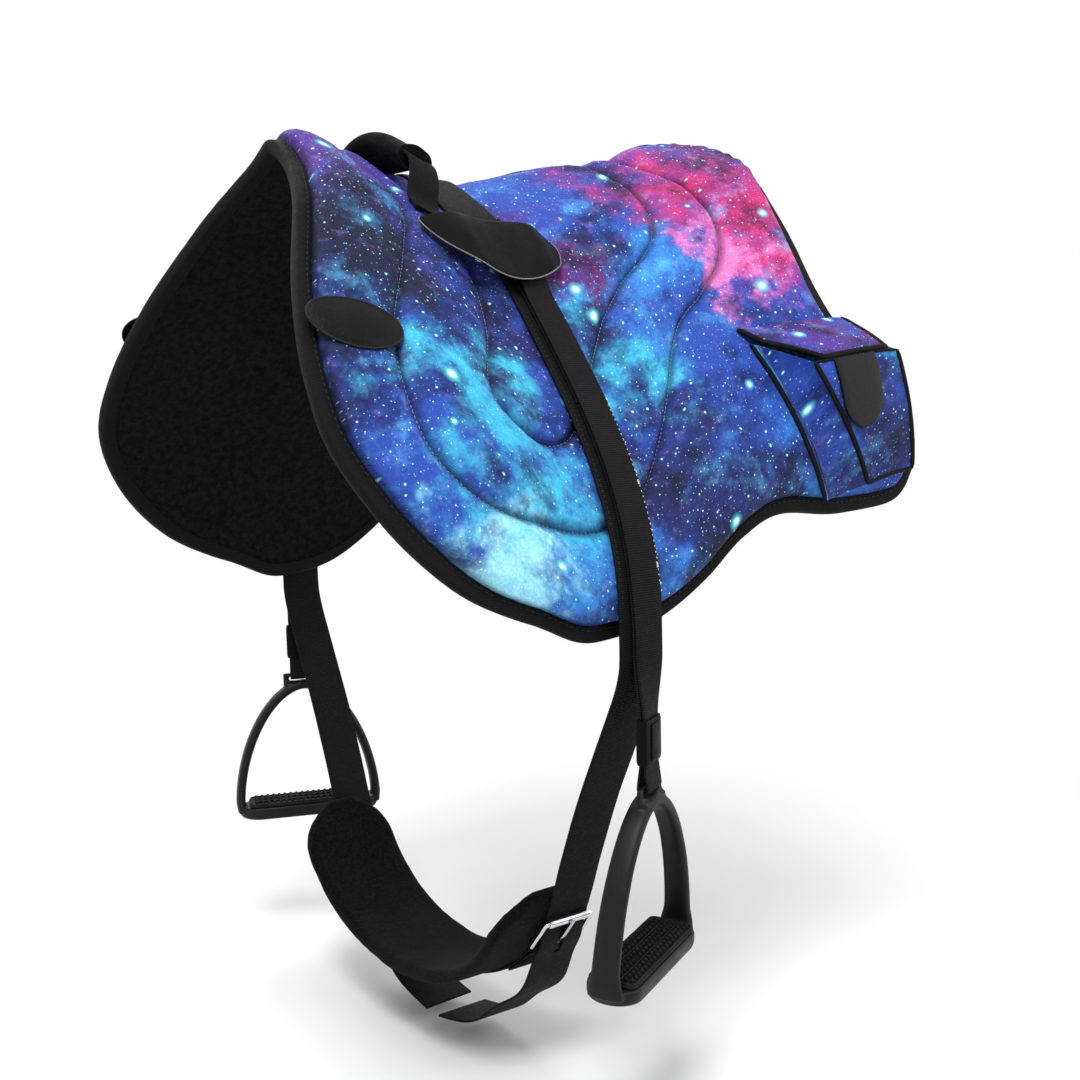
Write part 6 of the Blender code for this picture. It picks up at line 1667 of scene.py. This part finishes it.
def tread(word, side):
    """Rubber mat: plate, raised rim, two ribs and three lanes of studs."""
    floor = BASE_TOP + 0.0003
    plate = rounded(MAT_HALF, MAT_HALF_DEPTH, 0.007)
    pieces = [slab(plate, [(floor + z, size) for z, size in MAT_EDGE])]
    edge, rim = rounded(MAT_HALF - 0.001, MAT_HALF_DEPTH - 0.001, 0.006), []
    for place in edge:
        outward = np.array(place) - np.clip(place, np.negative(RIM_CORE), RIM_CORE)
        outward /= np.linalg.norm(outward)
        rim += [(*(place - outward * t), floor + z) for t, z in MAT_RIM]
    pieces.append((rim, rings_to_faces(len(MAT_RIM), len(edge), closed=True)))
    for rib in RIBS:
        bar = [(x * RIB_HALF[0], rib + d * RIB_HALF[1]) for x, d in ((1, 1), (-1, 1), (-1, -1), (1, -1))]
        points = [(x, d, floor + z) for z in (MAT_FACE, RIB_TOP) for x, d in bar]
        pieces.append((points, rings_to_faces(4, 2)))
    for lane in STUD_LANES:
        for row in STUD_ROWS:
            for x in np.linspace(-STUD_REACH, STUD_REACH, STUDS_IN_ROW):
                stud = [(x + r * math.cos(t), lane + row + r * math.sin(t), floor + z)
                        for r, z in STUD for t in circle(10)]
                pieces.append((stud, rings_to_faces(10, len(STUD))))
    points, faces = joined(pieces)
    mat = build("tread_rubber_" + word, stirrup_place(side)(np.array(points)), faces, RUBBER,
                "stirrup_iron_" + word, sharp=50)
    return dress(mat, "rubber", "stirrup_tread_" + word)


for word, side in SIDES:
    iron = stirrup(word, side)
    mat = tread(word, side)
print("stirrup:", len(iron.data.polygons), "faces; tread:", len(mat.data.polygons))

# %% [markdown]
# Rings and buckles are bent from round wire, so each is a tube round a rectangle with tight corners, as the
# wire is. The roller is turned: a short sleeve with rounded ends on the buckle's top bar, which lets the
# billet be drawn tight without wear. The tongue's solid is right as it is and only gets its finish and a
# small bevel.

# %% Hard parts
BUCKLE_HALF, BUCKLE_WIRE, BUCKLE_TOP_H, BUCKLE_TURN, RING_TURN = 0.0255, 0.002, 0.0085, 0.003, 0.004
ROLLER_SIZES = (0.0222, 0.0037, 0.0023)  # half its length, radius, radius of its bore


def bent_wire(side, upper, lower, x, half, turn):
    """Path of a wire rectangle with round corners, whose top and bottom bars lie at two places on the straps,
    and the top bar's middle, its way across and the way down."""
    first, second = (spot(on_straps, x, side * s, h) for s, h in (upper, lower))
    ends = on_straps(np.array([x - 0.01, x + 0.01]), side * upper[0], upper[1])
    across = (ends[1] - ends[0]) / np.linalg.norm(ends[1] - ends[0])
    down = second - first
    down -= across * (down @ across)
    tall = np.linalg.norm(down)
    down /= tall
    path = [first + across * u + down * (v + tall / 2) for u, v in rounded(half, tall / 2, turn, 7)]
    return path, first, across, down


def roller(word, place, across, down):
    """The turned sleeve on the buckle's top bar."""
    out = np.cross(across, down)
    half, radius, bore = ROLLER_SIZES
    outline = [(-half, bore), (-half, radius - 0.0008), (-half + 0.0003, radius - 0.0002),
               (-half + 0.0009, radius)]
    outline += [(t, radius - 0.00012 * (1 - (t / half) ** 2)) for t in np.linspace(-half * 0.8, half * 0.8, 7)]
    outline += [(-x, r) for x, r in outline[3::-1]]
    points = [place + across * x + r * (math.cos(t) * down + math.sin(t) * out)
              for x, r in outline for t in circle(40)]
    thing = build("roller_turned_" + word, points, rings_to_faces(40, len(outline), closed=True), STEEL,
                  "roller_" + word, sharp=40)
    return dress(thing, "steel", "buckle_roller_" + word)


for word, side in SIDES:
    path, *_ = bent_wire(side, (RING_S, BAR_H), (BOW_S, INNER_H + BOW_LOOP), BACK_X, RING_HALF, RING_TURN)
    ring = piping("ring_wire_" + word, path, RING_WIRE, "hanger_" + word, STEEL, closed=True, sides=20)
    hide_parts("ring_" + word)
    path, *bar = bent_wire(side, (ROLLER_S, BUCKLE_TOP_H), (PIVOT_S, PIVOT_H), BILLET_X, BUCKLE_HALF,
                           BUCKLE_TURN)
    buckle = piping("buckle_wire_" + word, path, BUCKLE_WIRE, "pad", STEEL, closed=True, sides=20)
    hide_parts("buckle_frame_" + word)
    roller(word, *bar)
    tongue = nodes["buckle_tongue_" + word]
    tongue.data.materials.clear()
    tongue.data.materials.append(STEEL)
    soft = tongue.modifiers.new("soft edges", "BEVEL")
    soft.width, soft.segments, soft.limit_method = 0.0004, 2, "ANGLE"
print("rings and buckles bent, rollers turned")

# %% [markdown]
# The stage is a plain pale floor under soft light. A dark pad needs one strong lamp from the side to draw
# its folds, a weak one to open the shadows and one from behind to part it from the floor. The floor looks
# white to the camera and to shiny metal, but it still takes the pad's shadow. The camera stands where the
# photographer stood.

# %% Floor, light and camera
FLOOR_Z, ROOM_LIGHT = solid_box[0].z - 0.012, 0.46
LAMPS = (("key", (-1.2, -1.2, 2.4), 1.2, 86), ("fill", (1.9, -1.6, 0.6), 2.0, 20),
         ("back", (0.4, 2.2, 1.5), 1.8, 40))  # name, place, size in metres, power in watts
EYE, YAW, PITCH, ROLL, FOCAL = Vector((-0.7336, -1.0627, -0.1487)), 0.6742, 0.1237, -0.0218, 1371.4


def white_to_the_eye(tree, lit, white, where=None):
    """Mix that shows plain white to the camera, in reflections and through glass."""
    path = add_node(tree, "LightPath").outputs
    seen = path["Is Camera Ray"]
    for other in ("Is Glossy Ray", "Is Transmission Ray"):
        seen = add_node(tree, "Math", {0: seen, 1: path[other]}, operation="MAXIMUM").outputs[0]
    if where is not None:
        seen = add_node(tree, "Math", {0: seen, 1: where}, operation="MULTIPLY").outputs[0]
    return add_node(tree, "MixShader", {0: seen, 1: lit, 2: white}).outputs[0]


def make_stage():
    """Floor and world."""
    bpy.ops.mesh.primitive_plane_add(size=30, location=(0, 0, FLOOR_Z))
    floor = bpy.context.object
    floor.name = "floor"
    pale = Finish("pale_floor", dye(244, 244, 244), 0.9, gloss=0.1)
    grain = pale.cloud(pale.place(), 3.0, 3.0, 0.5)
    pale.set("Base Color", pale.blend(pale.spread(grain, 0.3, 0.7), dye(242, 242, 242), dye(247, 247, 247)))
    white = pale.node("Emission", {"Color": (1, 1, 1, 1), "Strength": 1.0})
    away = pale.node("VectorMath", {0: pale.place(), 1: (0.05, 0.0, 0.0)}, operation="DISTANCE")
    far = pale.spread(away.outputs["Value"], 0.25, 1.1)
    seen = white_to_the_eye(pale.tree, pale.shader.outputs[0], white.outputs[0], far)
    pale.tree.links.new(seen, pale.tree.nodes["Material Output"].inputs["Surface"])
    floor.data.materials.append(pale.material)
    floor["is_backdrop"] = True
    world = bpy.data.worlds.new("studio")
    bpy.context.scene.world = world
    world.use_nodes = True
    tree = world.node_tree
    tree.nodes.clear()
    soft, bright = (add_node(tree, "Background", {"Color": (1, 1, 1, 1), "Strength": strength}).outputs[0]
                    for strength in (ROOM_LIGHT, 1.0))
    add_node(tree, "OutputWorld", {0: white_to_the_eye(tree, soft, bright)})


def add_lamp(name, place, size, power):
    """A square soft light that points at the middle of the pad."""
    data = bpy.data.lights.new(name, "AREA")
    data.size, data.energy = size, power
    lamp = set_down(name, data)
    lamp.location = place
    lamp.rotation_euler = (Vector((0, 0, -0.3)) - Vector(place)).to_track_quat("-Z", "Y").to_euler()


def make_camera():
    """The camera at the photograph's place and angle."""
    forward = Vector((math.sin(YAW) * math.cos(PITCH), math.cos(YAW) * math.cos(PITCH), -math.sin(PITCH)))
    right = forward.cross(Vector((0, 0, 1))).normalized()
    up = right.cross(forward)
    tilted_right = right * math.cos(ROLL) + up * math.sin(ROLL)
    tilted_up = up * math.cos(ROLL) - right * math.sin(ROLL)
    data = bpy.data.cameras.new("camera")
    data.sensor_width = 36
    data.lens = FOCAL / 1080 * data.sensor_width
    camera = set_down("camera", data)
    camera.location = EYE
    camera.rotation_euler = Matrix((tilted_right, tilted_up, -forward)).transposed().to_euler()
    bpy.context.scene.camera = camera


make_stage()
for lamp in LAMPS:
    add_lamp(*lamp)
make_camera()
bpy.context.scene.view_settings.view_transform = "Standard"
print("stage set")

# %% [markdown]
# Last, the size of the dressed pad is printed beside the size of its solids. Cloth may stand a few
# millimetres proud of them, and no more.

# %% Measure and finish
dressed_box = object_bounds()
boxes = {"cad": [list(v) for v in solid_box], "visual": [list(v) for v in dressed_box]}
print("solids:", boxes["cad"])
print("dressed:", boxes["visual"])
